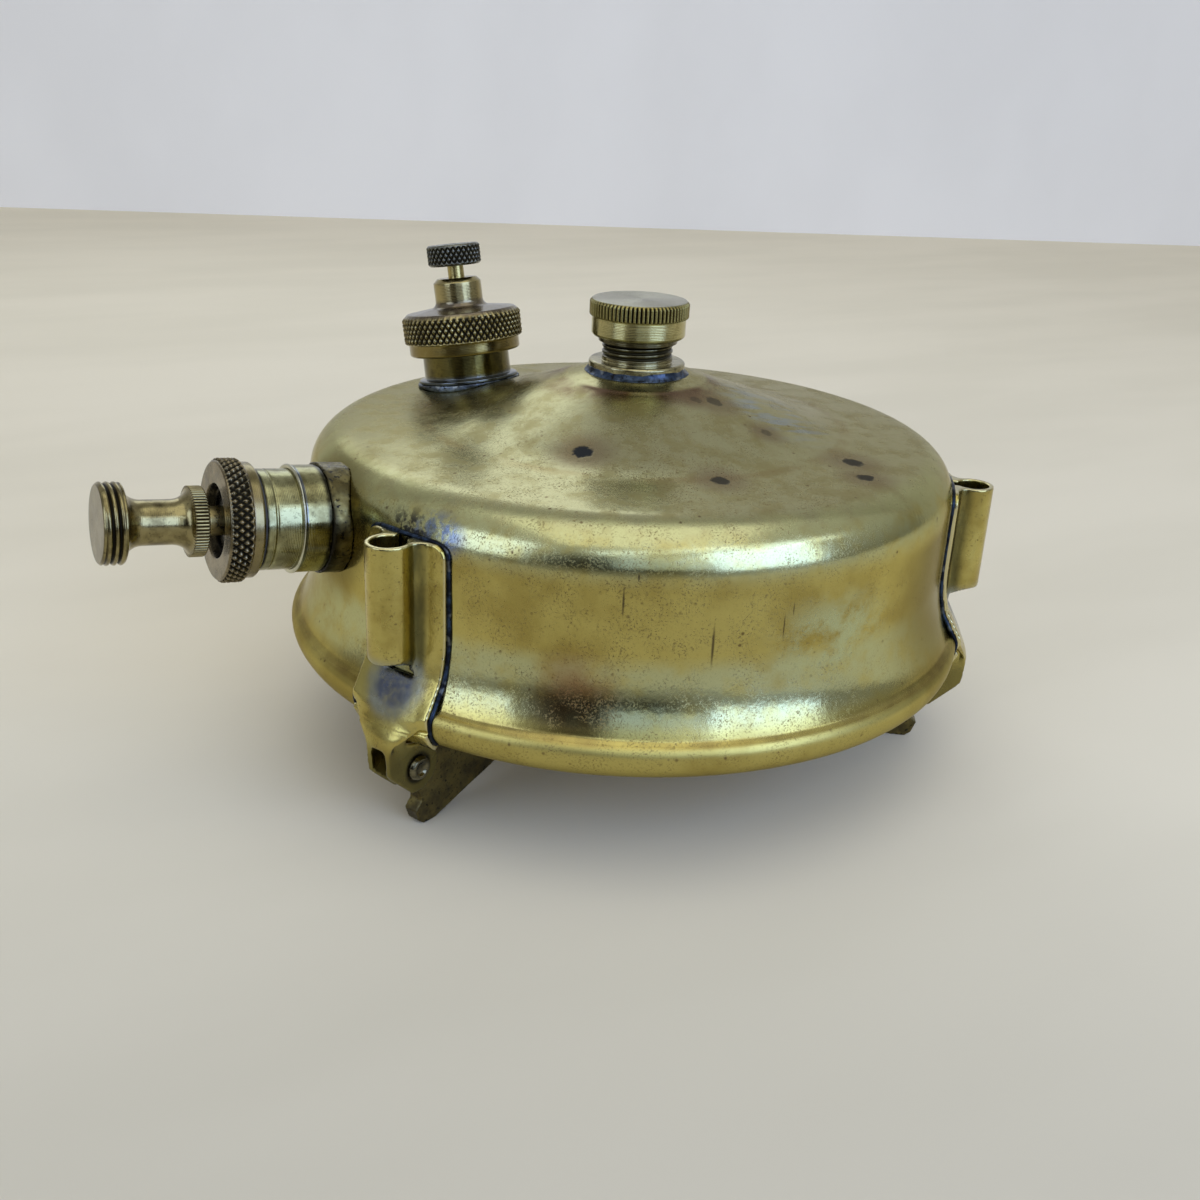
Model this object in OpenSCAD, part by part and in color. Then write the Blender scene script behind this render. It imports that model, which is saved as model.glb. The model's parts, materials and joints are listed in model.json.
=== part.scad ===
// Small brass pressure stove: the fuel tank with its pump, filler, burner neck,
// rod brackets and folding feet.
// Millimetres, +Z up. The origin is the centre of the burner neck's top rim, on
// the tank's axis. The pump lies along -X and climbs outwards.

/* [Tank] */
// Radius of the rolled band round the tank's foot
band_r = 60; // [54:0.5:68]
// Radius of the straight wall
wall_r = 55.8; // [50:0.1:58]
// Thickness of the pressed sheet
sheet_t = 0.8; // [0.5:0.05:1.2]
// Radius that turns the top over into the wall
shoulder_bend_r = 7.8; // [5:0.1:11]
// Radius of the cone's foot on the top
cone_foot_r = 34.7; // [30:0.1:40]
// Depth of the shoulder's flat below the neck's top rim
shoulder_depth = 18.7; // [16:0.1:24]
// Depth of the band's widest line below the neck's top rim
band_depth = 52.4; // [48:0.1:64]
// Height of the flare between the wall and the band
flare_h = 12.2; // [8:0.1:16]
// Rise of the dished bottom
bottom_rise = 4.5; // [2:0.1:7]

/* [Burner neck] */
// Radius of the thread on the neck, and on the pump knob that stores its cap
neck_r = 6.1; // [5:0.05:6.6]
// Radius of the passage through the neck
neck_bore_r = 3.6; // [3:0.1:4.2]
// Radius of the fuel riser under the neck
riser_r = 2.4; // [1.6:0.1:2.8]
// Radius of the flange under the thread
neck_flange_r = 8.3; // [7.5:0.1:10]
// Thickness of that flange
neck_flange_t = 2; // [1:0.1:3]
// Depth of the flange's top below the rim
neck_flange_depth = 7.4; // [6:0.1:9]

/* [Travel cap] */
// Radius of the cap over its knurl
cap_r = 8.5; // [8:0.1:11]
// Height of the knurled band
cap_knurl_h = 2.85; // [2:0.05:4]
// Radius of the plain collar
cap_collar_r = 8.05; // [7.6:0.05:10]
// Thickness of the sealing washer inside
cap_washer_t = 1.2; // [0.6:0.1:2]
// Thickness of the cap's top
cap_top_t = 1.7; // [1.2:0.1:2.4]

/* [Filler] */
// Distance of the filler from the tank's axis
filler_dist = 37.2; // [33:0.1:39]
// Direction of the filler from +X
filler_angle = 115.4; // [90:0.1:140]
// Outward lean of the filler
filler_tilt = 9.3; // [6:0.1:11]
// Outer radius of the neck
filler_neck_r = 8; // [7:0.1:8.6]
// Radius of the filling passage
filler_bore_r = 6.6; // [5:0.1:6.8]
// Height of the neck's rim
filler_neck_h = 10.8; // [10:0.1:12]
// Radius of the cap over its knurl
filler_cap_r = 11.05; // [10.8:0.05:13]
// Radius of the hub that holds the air screw
hub_r = 4.4; // [3.6:0.1:5.5]

/* [Air screw] */
// Radius of the air screw's stem
air_stem_r = 1.5; // [1:0.05:2]
// Radius of its knob
air_knob_r = 4.9; // [4:0.1:6]
// Height of its knob
air_knob_h = 3.8; // [3:0.1:5]

/* [Pump] */
// Height of the pump's axis at the tank's centre, below the neck's top rim
pump_depth = 34.6; // [32:0.1:38]
// Climb of the pump towards its knob
pump_tilt = 6.1; // [4:0.1:8]
// Outer radius of the barrel
barrel_r = 7.8; // [7.2:0.1:8.2]
// Wall of the barrel
barrel_t = 0.8; // [0.5:0.05:1.2]
// Distance of the barrel's mouth from the tank's axis
barrel_mouth = 68.4; // [66:0.1:72]
// Distance of the barrel's inner end from the tank's axis
barrel_inner = 17; // [16:0.5:24]
// Radius of the pump cap over its knurl
pump_cap_r = 9.45; // [9.2:0.05:11]
// Radius of the rod
rod_r = 2.25; // [1.6:0.05:2.8]
// Radius of the knob's waist
knob_waist_r = 3.4; // [3:0.1:4.2]
// Radius of the knob's inner flange
knob_flange_r = 5.35; // [4.8:0.05:6.4]
// Length of the knob
knob_len = 15; // [13:0.1:18]

/* [Rod brackets] */
// Direction of the bracket next to the pump
bracket_angle = 202.5; // [200:0.5:225]
// Radius of the socket for a pot-support rod
socket_bore_r = 2.7; // [2:0.05:3.2]
// Length of the socket
socket_len = 20.8; // [16:0.1:24]
// Half width of the strap
strap_half_w = 7.8; // [6.5:0.1:9]
// Radius of the ear round the foot's rivet
ear_r = 4.4; // [3.6:0.1:5]
// Inner gap between the two ears
ear_gap = 3; // [2.6:0.1:4]

/* [Feet] */
// Distance of the rivet from the tank's axis
rivet_dist = 56.4; // [55:0.1:58]
// Depth of the rivet below the band's widest line
rivet_drop = 10.3; // [10:0.1:13]
// Length of a foot from its rivet to its far end
foot_len = 31; // [26:0.5:36]
// Depth of the heel that the stove rests on while the feet are folded
heel_drop = 11.6; // [10.5:0.1:13]
// Radius of the rivet's shank
rivet_r = 1.25; // [0.9:0.05:1.6]

/* [Hidden] */
$fn = 96;
eps = 0.01;

run = 0.05;             // radial clearance of what turns or slides in a hole
thread_gap = 0.1;       // radial clearance of a thread's plain stand-in
solder_t = 0.25;        // solder between a strap and the tank
foot_side_gap = 0.2;    // clearance between a foot and each ear

// Tank levels and radii
pad_flat_r = 9.4;
pad_r = 12.8;
pad_z = -neck_flange_depth - neck_flange_t;
pad_edge_z = pad_z - 1.1;
cone_foot_z = -shoulder_depth + 1.1;
cone_blend = 4;
band_z = -band_depth;
band_top_bend = 2.2;
band_top_angle = 70;
band_low_bend = 4.6;
lip_r = 53.8 + (band_r - 60);
lip_z = band_z - band_low_bend;
flat_end_r = wall_r - shoulder_bend_r;
shoulder_c_z = -shoulder_depth - shoulder_bend_r;
crease = [band_r - band_top_bend + band_top_bend * cos(band_top_angle),
    band_z + band_top_bend * sin(band_top_angle)];
flare_top_z = crease.y + flare_h - 0.87;
flare_out = crease.x - wall_r;
flare_drop = flare_top_z - crease.y;
flare_r = (flare_out * flare_out + flare_drop * flare_drop) / (2 * flare_out);
flare_angle = asin(flare_drop / flare_r);

// Points along an arc, both ends included
function arc(cx, cy, r, a0, a1, n) =
    [for (i = [0:n]) let (a = a0 + (a1 - a0) * i / n) [cx + r * cos(a), cy + r * sin(a)]];

// A corner eased by a parabola that starts and ends d away from it
function eased(p, c, q, d, n) =
    let (a = c + (p - c) * d / norm(p - c), b = c + (q - c) * d / norm(q - c))
    [for (i = [0:n]) let (t = i / n) a * (1 - t) * (1 - t) + c * 2 * t * (1 - t) + b * t * t];

// A path moved by d to its right-hand side, for one that runs outwards and down
function moved(path, d) =
    [for (i = [0:len(path) - 1])
        let (k = path[min(i + 1, len(path) - 1)] - path[max(i - 1, 0)], n = norm(k))
        path[i] + [k.y, -k.x] * d / n];

function backwards(v) = [for (i = [len(v) - 1:-1:0]) v[i]];

cone_top = [pad_r, pad_edge_z];
cone_foot = [cone_foot_r, cone_foot_z];
flat_end = [flat_end_r, -shoulder_depth];

// The tank's outer side, from the neck's hole to the lip under the band
wall_path = concat(
    arc(flat_end_r, shoulder_c_z, shoulder_bend_r, 84, 0, 14),
    arc(wall_r + flare_r, flare_top_z, flare_r, 180, 180 + flare_angle, 8));
band_path = concat(
    arc(band_r - band_top_bend, band_z, band_top_bend, band_top_angle, 0, 6),
    arc(band_r - band_low_bend, band_z, band_low_bend, -9, -90, 9));
tank_path = concat(
    [[neck_r + 0.5, pad_z], [pad_flat_r, pad_z], [pad_r - 0.3, pad_edge_z + 0.3]],
    [cone_top],
    eased(cone_top, cone_foot, flat_end, cone_blend, 6),
    wall_path, band_path, [[lip_r, lip_z]]);

module shell(outer, t) {
    rotate_extrude() polygon(concat(outer, backwards(moved(outer, t))));
}

// The space that the closed tank fills, as a cutter for what is soldered on
module tank_space() {
    rotate_extrude() polygon(concat([[0, pad_z]], tank_path, [[0, lip_z]]));
}

module at_filler() {
    rotate([0, 0, filler_angle])
        translate([filler_dist, 0, cone_foot_z - 0.15])
            rotate([0, filler_tilt, 0]) children();
}

// Local +Z runs outwards along the pump's axis from the tank's axis
module at_pump() {
    translate([0, 0, -pump_depth]) rotate([0, -90 + pump_tilt, 0]) children();
}

// Local +X runs outwards over the bracket, local Z stays
module at_bracket(i) {
    rotate([0, 0, bracket_angle + 120 * i]) children();
}

module ring(r0, r1, z0, z1) {
    rotate_extrude() polygon([[r0, z0], [r1, z0], [r1, z1], [r0, z1]]);
}

// ---- Tank ----

module tank_top() {
    color("darkkhaki") difference() {
        shell(tank_path, sheet_t);
        at_filler() translate([0, 0, -8]) cylinder(r = filler_neck_r + run, h = 16);
        at_pump() translate([0, 0, 40]) cylinder(r = barrel_r + run, h = 30);
    }
}

bottom_rim_r = lip_r + 1;
bottom_turn_r = lip_r - 3.6;

module tank_bottom() {
    rise = [for (i = [0:12]) let (q = i / 12)
        [bottom_turn_r * q, lip_z + sheet_t + bottom_rise * cos(90 * q)]];
    path = concat(rise, [[bottom_rim_r, lip_z + sheet_t]]);
    top = [for (p = backwards(path)) p + [0, sheet_t]];
    color("darkkhaki") rotate_extrude() polygon(concat(path, top));
}

// ---- Burner neck and its travel cap ----

module burner_neck() {
    spigot_r = neck_r + 0.4;
    riser_seat_z = pad_z + 0.4;
    color("darkkhaki") rotate_extrude() polygon([
        [riser_r + 0.02, pad_z - 3], [spigot_r, pad_z - 3], [spigot_r, pad_z],
        [neck_flange_r, pad_z], [neck_flange_r, pad_z + neck_flange_t - 0.3],
        [neck_flange_r - 0.3, pad_z + neck_flange_t], [neck_r, pad_z + neck_flange_t],
        [neck_r, -0.6], [neck_r - 0.6, 0], [neck_bore_r, 0],
        [neck_bore_r, riser_seat_z], [riser_r + 0.02, riser_seat_z]]);
}

// The tube that the burner draws its fuel through, down to near the bottom
module fuel_riser() {
    foot_z = lip_z + 2 * sheet_t + bottom_rise + 1.5;
    color("darkkhaki") ring(riser_r - 0.5, riser_r, foot_z, pad_z);
}

module neck_solder() {
    color("slategray") rotate_extrude() polygon([
        [neck_flange_r + eps, pad_z], [pad_flat_r, pad_z], [neck_flange_r + 0.5, pad_z + 0.7],
        [neck_flange_r + eps, pad_z + 1]]);
}

cap_floor_z = -4.2;
cap_ceiling_z = cap_washer_t;
cap_top_z = cap_ceiling_z + cap_top_t;
cap_lip_r = neck_r + 0.7;
cap_bore_r = neck_r + thread_gap;

module travel_cap() {
    knurl_z = cap_top_z - cap_knurl_h;
    color("khaki") rotate_extrude() polygon([
        [cap_bore_r, cap_floor_z], [cap_lip_r, cap_floor_z], [cap_lip_r, cap_floor_z + 0.9],
        [cap_collar_r - 0.4, cap_floor_z + 0.9], [cap_collar_r, cap_floor_z + 1.3],
        [cap_collar_r, knurl_z], [cap_r - 0.2, knurl_z], [cap_r, knurl_z + 0.2],
        [cap_r, cap_top_z - 0.5], [cap_r - 0.5, cap_top_z], [0, cap_top_z],
        [0, cap_ceiling_z], [cap_bore_r, cap_ceiling_z]]);
}

module travel_cap_washer() {
    color("dimgray") cylinder(r = neck_r - 0.1, h = cap_washer_t);
}

// ---- Filler ----

filler_seat = 0.95;             // height at which the flange clears the dished top
filler_flange_r = filler_neck_r + 1.2;
gasket_t = 1.1;
filler_cap_z0 = 6;
filler_knurl_z0 = 8.3;
filler_ceiling = filler_neck_h + gasket_t;
filler_knurl_z1 = filler_ceiling + 1.8;
hub_z0 = filler_knurl_z1 + 0.6;
hub_z1 = filler_ceiling + 7.7;
air_seat_z = filler_ceiling + 1.3;
air_stem_top = hub_z1 + 4.3;
air_knob_z0 = hub_z1 + 2.2;

module filler_neck() {
    color("darkkhaki") at_filler() rotate_extrude() polygon([
        [filler_bore_r, -3.5], [filler_neck_r, -3.5], [filler_neck_r, filler_seat],
        [filler_flange_r, filler_seat], [filler_flange_r, filler_seat + 0.6],
        [filler_neck_r, filler_seat + 0.9], [filler_neck_r, filler_neck_h - 0.5],
        [filler_neck_r - 0.5, filler_neck_h], [filler_bore_r, filler_neck_h]]);
}

module filler_solder() {
    color("slategray") difference() {
        at_filler() ring(filler_neck_r + 0.02, filler_flange_r + 0.4, -1.5, filler_seat - 0.02);
        tank_space();
    }
}

module filler_cap() {
    bore_r = filler_neck_r + thread_gap;
    stem_hole_r = air_stem_r + run;
    flange_r = filler_cap_r - 0.75;
    fillet = arc(hub_r + 1.2, hub_z0 + 1.2, 1.2, 270, 180, 5);
    color("darkkhaki") at_filler() difference() {
        rotate_extrude() polygon(concat([
            [bore_r, filler_cap_z0], [flange_r - 0.3, filler_cap_z0],
            [flange_r, filler_cap_z0 + 0.3], [flange_r, filler_knurl_z0],
            [filler_cap_r, filler_knurl_z0 + 0.3], [filler_cap_r, filler_knurl_z1 - 1],
            [filler_cap_r - 1, filler_knurl_z1]], fillet, [
            [hub_r, hub_z1 - 0.8], [hub_r - 0.8, hub_z1], [stem_hole_r, hub_z1],
            [stem_hole_r, air_seat_z + 1], [0.7, air_seat_z], [0.7, filler_ceiling],
            [bore_r, filler_ceiling]]));
        translate([0, 0, air_seat_z + 2]) rotate([0, 90, 0]) cylinder(r = 0.5, h = hub_r + 1, $fn = 24);
    }
}

module filler_gasket() {
    color("black") at_filler()
        ring(filler_bore_r - 1.6, filler_neck_r - 0.1, filler_neck_h, filler_ceiling);
}

module air_screw_stem() {
    color("darkkhaki") at_filler() rotate_extrude() polygon([
        [0, air_seat_z + 0.1], [0.62, air_seat_z + 0.1], [air_stem_r, air_seat_z + 1.15],
        [air_stem_r, air_stem_top], [0, air_stem_top]]);
}

module air_screw_knob() {
    hole_r = air_stem_r + run;
    z1 = air_knob_z0 + air_knob_h;
    color("dimgray") at_filler() rotate_extrude() polygon([
        [hole_r, air_knob_z0], [air_knob_r - 0.4, air_knob_z0], [air_knob_r, air_knob_z0 + 0.4],
        [air_knob_r, z1 - 0.4], [air_knob_r - 0.4, z1], [0, z1],
        [0, air_stem_top + run], [hole_r, air_stem_top + run]]);
}

// ---- Pump ----

bore_r = barrel_r - barrel_t;
barrel_end = barrel_inner;
barrel_floor = barrel_end + 2;
ferrule_r = barrel_r + 0.55;
ferrule_s0 = wall_r + 2.8;
ferrule_s1 = ferrule_s0 + 4.5;
cap_seat = barrel_mouth + 0.5;
cap_knurl_s0 = cap_seat + 1.8;
cap_face = cap_knurl_s0 + 3.5;
shank_len = 7;
shank_end = cap_seat - shank_len;
knob_s0 = cap_face + 1.9;
knob_s1 = knob_s0 + knob_len;

module pump_ferrule() {
    color("darkkhaki") at_pump() ring(barrel_r + 0.02, ferrule_r, ferrule_s0, ferrule_s1);
}

module pump_solder() {
    color("slategray") difference() {
        at_pump() ring(barrel_r + 0.02, ferrule_r + 0.35, flat_end_r - 2, ferrule_s0 - 0.02);
        tank_space();
    }
}

module pump_barrel() {
    color("darkkhaki") at_pump() difference() {
        translate([0, 0, barrel_end]) cylinder(r = barrel_r, h = barrel_mouth - barrel_end);
        translate([0, 0, barrel_floor]) cylinder(r = bore_r, h = 200);
        translate([0, 0, barrel_end - 1]) cylinder(r = valve_stub_r + run, h = 4);
    }
}

module pump_cap_washer() {
    color("black") at_pump() ring(bore_r + 0.1, barrel_r - 0.1, barrel_mouth, cap_seat);
}

module pump_cap() {
    flange_r = pump_cap_r - 0.6;
    recess_r = knob_flange_r + 0.35;
    color("peru") at_pump() rotate_extrude() polygon([
        [rod_r + run, shank_end], [bore_r - thread_gap, shank_end],
        [bore_r - thread_gap, cap_seat], [flange_r - 0.3, cap_seat],
        [flange_r, cap_seat + 0.3], [flange_r, cap_knurl_s0],
        [pump_cap_r - 0.3, cap_knurl_s0], [pump_cap_r, cap_knurl_s0 + 0.3],
        [pump_cap_r, cap_face - 0.6], [pump_cap_r - 0.6, cap_face],
        [recess_r, cap_face], [recess_r - 0.4, cap_face - 1.5], [rod_r + run, cap_face - 1.5]]);
}

// The plunger's stack, from the barrel's floor outwards
rod_tip = barrel_floor + 2.2;
nut_s0 = rod_tip + 1;
spreader_s0 = nut_s0 + 2.4;
cup_s1 = spreader_s0 + 2.4;
backing_s1 = cup_s1 + 1;
rod_thread_r = rod_r - 0.35;

module pump_rod() {
    color("darkkhaki") at_pump() rotate_extrude() polygon([
        [0, rod_tip], [rod_thread_r, rod_tip], [rod_thread_r, backing_s1],
        [rod_r, backing_s1], [rod_r, knob_s0 + 6], [0, knob_s0 + 6]]);
}

module pump_knob() {
    waist_s0 = knob_s0 + 4.6;
    waist_s1 = knob_s1 - 6.2;
    thread_s0 = knob_s1 - 3.5;
    band = 2.1;
    flare_in = [for (i = [0:6]) let (a = 90 * i / 6)
        [knob_waist_r + (knob_flange_r - knob_waist_r) * (1 - sin(a)),
         knob_s0 + band + (waist_s0 - knob_s0 - band) * (1 - cos(a))]];
    flare_up = [for (i = [0:6]) let (a = 90 * i / 6)
        [knob_waist_r + (neck_r - 0.6 - knob_waist_r) * (1 - cos(a)),
         waist_s1 + (thread_s0 - waist_s1) * sin(a)]];
    color("peru") at_pump() rotate_extrude() polygon(concat(
        [[rod_r, knob_s0], [knob_flange_r - 0.3, knob_s0], [knob_flange_r, knob_s0 + 0.3]],
        flare_in, flare_up,
        [[neck_r, thread_s0 + 0.5], [neck_r, knob_s1 - 0.5],
         [neck_r - 0.5, knob_s1], [0, knob_s1], [0, knob_s0 + 6], [rod_r, knob_s0 + 6]]));
}

module leather_cup() {
    skirt_s = spreader_s0 - 4.3;
    color("saddlebrown") at_pump() rotate_extrude() polygon([
        [rod_thread_r + run, spreader_s0 + 1], [bore_r - 1.5, spreader_s0 + 1],
        [bore_r - 1, spreader_s0 + 0.4], [bore_r - 0.9, skirt_s], [bore_r - run, skirt_s],
        [bore_r - run, cup_s1 - 0.6], [bore_r - 0.8, cup_s1], [rod_thread_r + run, cup_s1]]);
}

module cup_backing_washer() {
    color("darkkhaki") at_pump() ring(rod_thread_r + run, bore_r - 0.9, cup_s1, backing_s1);
}

module cup_spreader() {
    color("darkkhaki") at_pump() ring(rod_thread_r + run, bore_r - 1.8, spreader_s0, spreader_s0 + 1);
}

module cup_nut() {
    color("darkkhaki") at_pump() translate([0, 0, nut_s0]) difference() {
        cylinder(r = 4.1, h = spreader_s0 - nut_s0, $fn = 6);
        translate([0, 0, -1]) cylinder(r = rod_thread_r + run, h = 5, $fn = 48);
    }
}

// ---- Non-return valve in the barrel's inner end ----

valve_stub_r = 2.9;
valve_r = 3.6;
valve_bore_r = 2.5;
valve_port_r = 0.8;
valve_flange_s = barrel_end - 0.6;
valve_seat_s = valve_flange_s - 1.2;
valve_end_s = valve_flange_s - 10.5;
pip_s0 = valve_seat_s - 1.2;
pip_s1 = pip_s0 - 3.8;
spring_top_s = pip_s0 - 1.4;
spring_foot_s = valve_end_s + 1.2;

module valve_body() {
    color("darkkhaki") at_pump() rotate_extrude() polygon([
        [valve_port_r, barrel_floor], [valve_stub_r, barrel_floor],
        [valve_stub_r, valve_flange_s], [valve_r + 1, valve_flange_s],
        [valve_r + 1, valve_flange_s - 2], [valve_r, valve_flange_s - 2],
        [valve_r, valve_end_s], [valve_bore_r, valve_end_s],
        [valve_bore_r, valve_seat_s], [valve_port_r + 0.5, valve_seat_s],
        [valve_port_r + 0.3, valve_seat_s - 0.3], [valve_port_r, valve_seat_s - 0.3]]);
}

module valve_washer() {
    color("gray") at_pump() ring(valve_stub_r + run, valve_r + 1, valve_flange_s, barrel_end);
}

module valve_cork() {
    color("tan") at_pump() translate([0, 0, pip_s0])
        cylinder(r = valve_bore_r - 0.4, h = valve_seat_s - 0.3 - pip_s0, $fn = 48);
}

module valve_pip() {
    color("darkkhaki") at_pump() rotate_extrude() polygon([
        [0, pip_s0], [valve_bore_r - run, pip_s0], [valve_bore_r - run, pip_s1],
        [valve_bore_r - 0.7, pip_s1], [valve_bore_r - 0.7, spring_top_s], [0, spring_top_s]]);
}

module valve_spring() {
    color("silver") at_pump() ring(1.1, valve_bore_r - 0.9, spring_foot_s, spring_top_s);
}

module valve_cap() {
    color("darkkhaki") at_pump() rotate_extrude() polygon([
        [valve_port_r, valve_end_s - 1.5], [valve_r, valve_end_s - 1.5], [valve_r, valve_end_s],
        [valve_bore_r - run, valve_end_s], [valve_bore_r - run, spring_foot_s],
        [valve_port_r, spring_foot_s]]);
}

// ---- Rod brackets, feet and rivets ----

socket_r = socket_bore_r + sheet_t;
socket_top = shoulder_c_z + 1.5;
socket_foot = socket_top - socket_len;
strap_face = wall_r + solder_t + sheet_t;
socket_c = strap_face + socket_r - 0.8;
seam_half_w = 1.3;
corner_r = 2.2;
rivet_z = band_z - rivet_drop;
rivet_to_web = 6.1;
web_knee = [rivet_dist + 7.2, band_z - 3.6];
web_end = [rivet_dist + rivet_to_web, rivet_z + 0.6];
slot_top = rivet_z + 4.7;
ear_out = ear_gap / 2 + sheet_t;

// The tank's side that a strap lies on: it bridges the crease above the band
strap_line = concat(
    arc(flat_end_r, shoulder_c_z, shoulder_bend_r, 11, 0, 2),
    arc(wall_r + flare_r, flare_top_z, flare_r, 180, 180 + flare_angle * 0.66, 5),
    arc(band_r - band_top_bend, band_z, band_top_bend, 32, 0, 3),
    arc(band_r - band_low_bend, band_z, band_low_bend, -9, -56, 5));

// The sheet's outer face where it leaves the band for the web
web_start = [band_r - 0.7, band_z + 2.6];
web_line = concat([web_start], eased(web_start, web_knee, web_end, 2, 6), [web_end]);

// Turns a profile of radius and height round the tank's axis and keeps what an
// outline of width and height leaves of it
module pressed(profile, outline) {
    intersection() {
        rotate_extrude() polygon(profile);
        rotate([90, 0, 90]) linear_extrude(band_r + 20) polygon(outline);
    }
}

// All that lies within a height t over that line, as a cutter
module under_strap(t) {
    face = moved(strap_line, -t);
    rotate_extrude() polygon(concat([[0, face[0].y]], face, [[0, face[len(face) - 1].y]]));
}

module strap_layer(t0, t1, half_w) {
    profile = concat(moved(strap_line, -t0), backwards(moved(strap_line, -t1)));
    foot = lip_z - 2;
    pressed(profile, concat([[-half_w, foot], [half_w, foot]],
        arc(half_w - corner_r, socket_top - corner_r, corner_r, 0, 90, 5),
        arc(-half_w + corner_r, socket_top - corner_r, corner_r, 90, 180, 5)));
}

// The middle of the sheet runs off the band and narrows to the web
module web() {
    profile = concat(web_line, backwards(moved(web_line, sheet_t)));
    neck = [ear_out, band_z - 5];
    side = concat([[ear_out, rivet_z]], eased([ear_out, rivet_z], neck, [strap_half_w, band_z], 1.8, 5),
        eased(neck, [strap_half_w - 0.3, band_z + 0.3], [strap_half_w - 0.3, band_z + 3], 2, 5),
        [[strap_half_w - 0.3, band_z + 3]]);
    pressed(profile, concat(side, backwards([for (p = side) [-p.x, p.y]])));
}

// The bend that leads the sheet from the strap into the loop of the socket
module loop_bend(side) {
    bend_r = 1.6;
    foot_y = socket_r + 1;
    difference() {
        polygon([[strap_face - 0.5, side * 1.6], [strap_face - 0.5, side * foot_y],
            [strap_face, side * foot_y], [socket_c, side * (socket_r - 0.05)], [socket_c, side * 1.6]]);
        translate([strap_face + bend_r - 0.1, side * (foot_y + 0.35)]) circle(r = bend_r, $fn = 48);
    }
}

// The rolled loop, with its foot cut on the slant: highest on the outer side
module socket_loop() {
    slant = 21;
    difference() {
        translate([0, 0, socket_foot]) linear_extrude(socket_len) {
            translate([socket_c, 0]) circle(r = socket_r);
            loop_bend(1);
            loop_bend(-1);
        }
        translate([strap_face, -8, socket_foot]) rotate([0, -slant, 0])
            translate([-8, 0, -6]) cube([22, 16, 6]);
    }
}

module ear(side) {
    y0 = side > 0 ? ear_gap / 2 : -ear_out;
    tip = arc(rivet_dist, rivet_z, ear_r, 100, 285, 12);
    back = arc(band_r - band_low_bend, band_z, band_low_bend + 1.4, -62, -14, 6);
    translate([0, y0 + sheet_t, 0]) rotate([90, 0, 0]) linear_extrude(sheet_t)
        polygon(concat(tip, [web_end - [0.5, 0.6], web_end - [0.1, 0]],
            backwards([for (p = web_line) if (p.y < band_z - 0.8) p - [0.2, 0]]), backwards(back)));
}

module bracket(i) {
    color("darkkhaki") at_bracket(i) difference() {
        union() {
            strap_layer(solder_t, solder_t + sheet_t, strap_half_w);
            socket_loop();
            web();
            ear(1);
            ear(-1);
        }
        // the rod's way, and the seam of the rolled loop towards the tank
        translate([socket_c, 0, socket_foot])
            cylinder(r = socket_bore_r, h = socket_len + 2);
        translate([wall_r - 2, -seam_half_w, socket_foot])
            cube([socket_c - wall_r + 2, 2 * seam_half_w, socket_len + 3]);
        // the slit under the loop's foot, which frees the rod's end
        translate([wall_r - 2, -socket_bore_r - 0.2, socket_foot - 0.6])
            cube([socket_c - wall_r + 2, 2 * socket_bore_r + 0.4, 0.6 + eps]);
        // the slot that the heel swings through
        translate([web_end.x - 2, -ear_gap / 2, rivet_z - 2])
            cube([4, ear_gap, slot_top - rivet_z + 2]);
        translate([rivet_dist, 6, rivet_z]) rotate([90, 0, 0])
            cylinder(r = rivet_r + run, h = 12, $fn = 48);
        // nothing of the sheet reaches into the solder or the tank
        under_strap(solder_t);
    }
}

module bracket_solder(i) {
    color("slategray") at_bracket(i) strap_layer(0.03, solder_t - 0.03, strap_half_w + 0.4);
}

foot_w = ear_gap - 2 * foot_side_gap;

module foot(i) {
    round_r = 3.2;
    outline = concat(
        arc(0, 0, round_r, 95, -62, 10),
        [[-1.4, -5.9], [-1.7, -7.2], [-0.4, -8.6], [-1.2, -heel_drop + 0.8],
         [-2.2, -heel_drop], [-4.8, -heel_drop]],
        arc(-foot_len + 2.4, -2.2, 2.4, 255, 100, 6));
    pocket = [[-5.4, 8], [-5.4, -heel_drop + 1.3], [-foot_len + 3.4, -3.6],
        [-foot_len + 3.4, 8]];
    color("olive") at_bracket(i) translate([rivet_dist, 0, rivet_z]) rotate([90, 0, 0])
        difference() {
            translate([0, 0, -foot_w / 2]) linear_extrude(foot_w) polygon(outline);
            translate([0, 0, -foot_w / 2 + 0.7]) linear_extrude(foot_w - 1.4) polygon(pocket);
            translate([0, 0, -5]) cylinder(r = rivet_r + run, h = 10, $fn = 48);
        }
}

module rivet(i) {
    head_r = 2.1;
    head_h = 0.9;
    dome = [for (k = [0:6]) let (a = 90 * k / 6)
        [head_r * cos(a), ear_out + head_h * sin(a)]];
    color("darkkhaki") at_bracket(i) translate([rivet_dist, 0, rivet_z]) rotate([90, 0, 0])
        rotate_extrude($fn = 48) polygon(concat(
            [[rivet_r, 0], [rivet_r, ear_out]], dome,
            backwards([for (p = dome) [p.x, -p.y]]), [[rivet_r, -ear_out]]));
}

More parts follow.
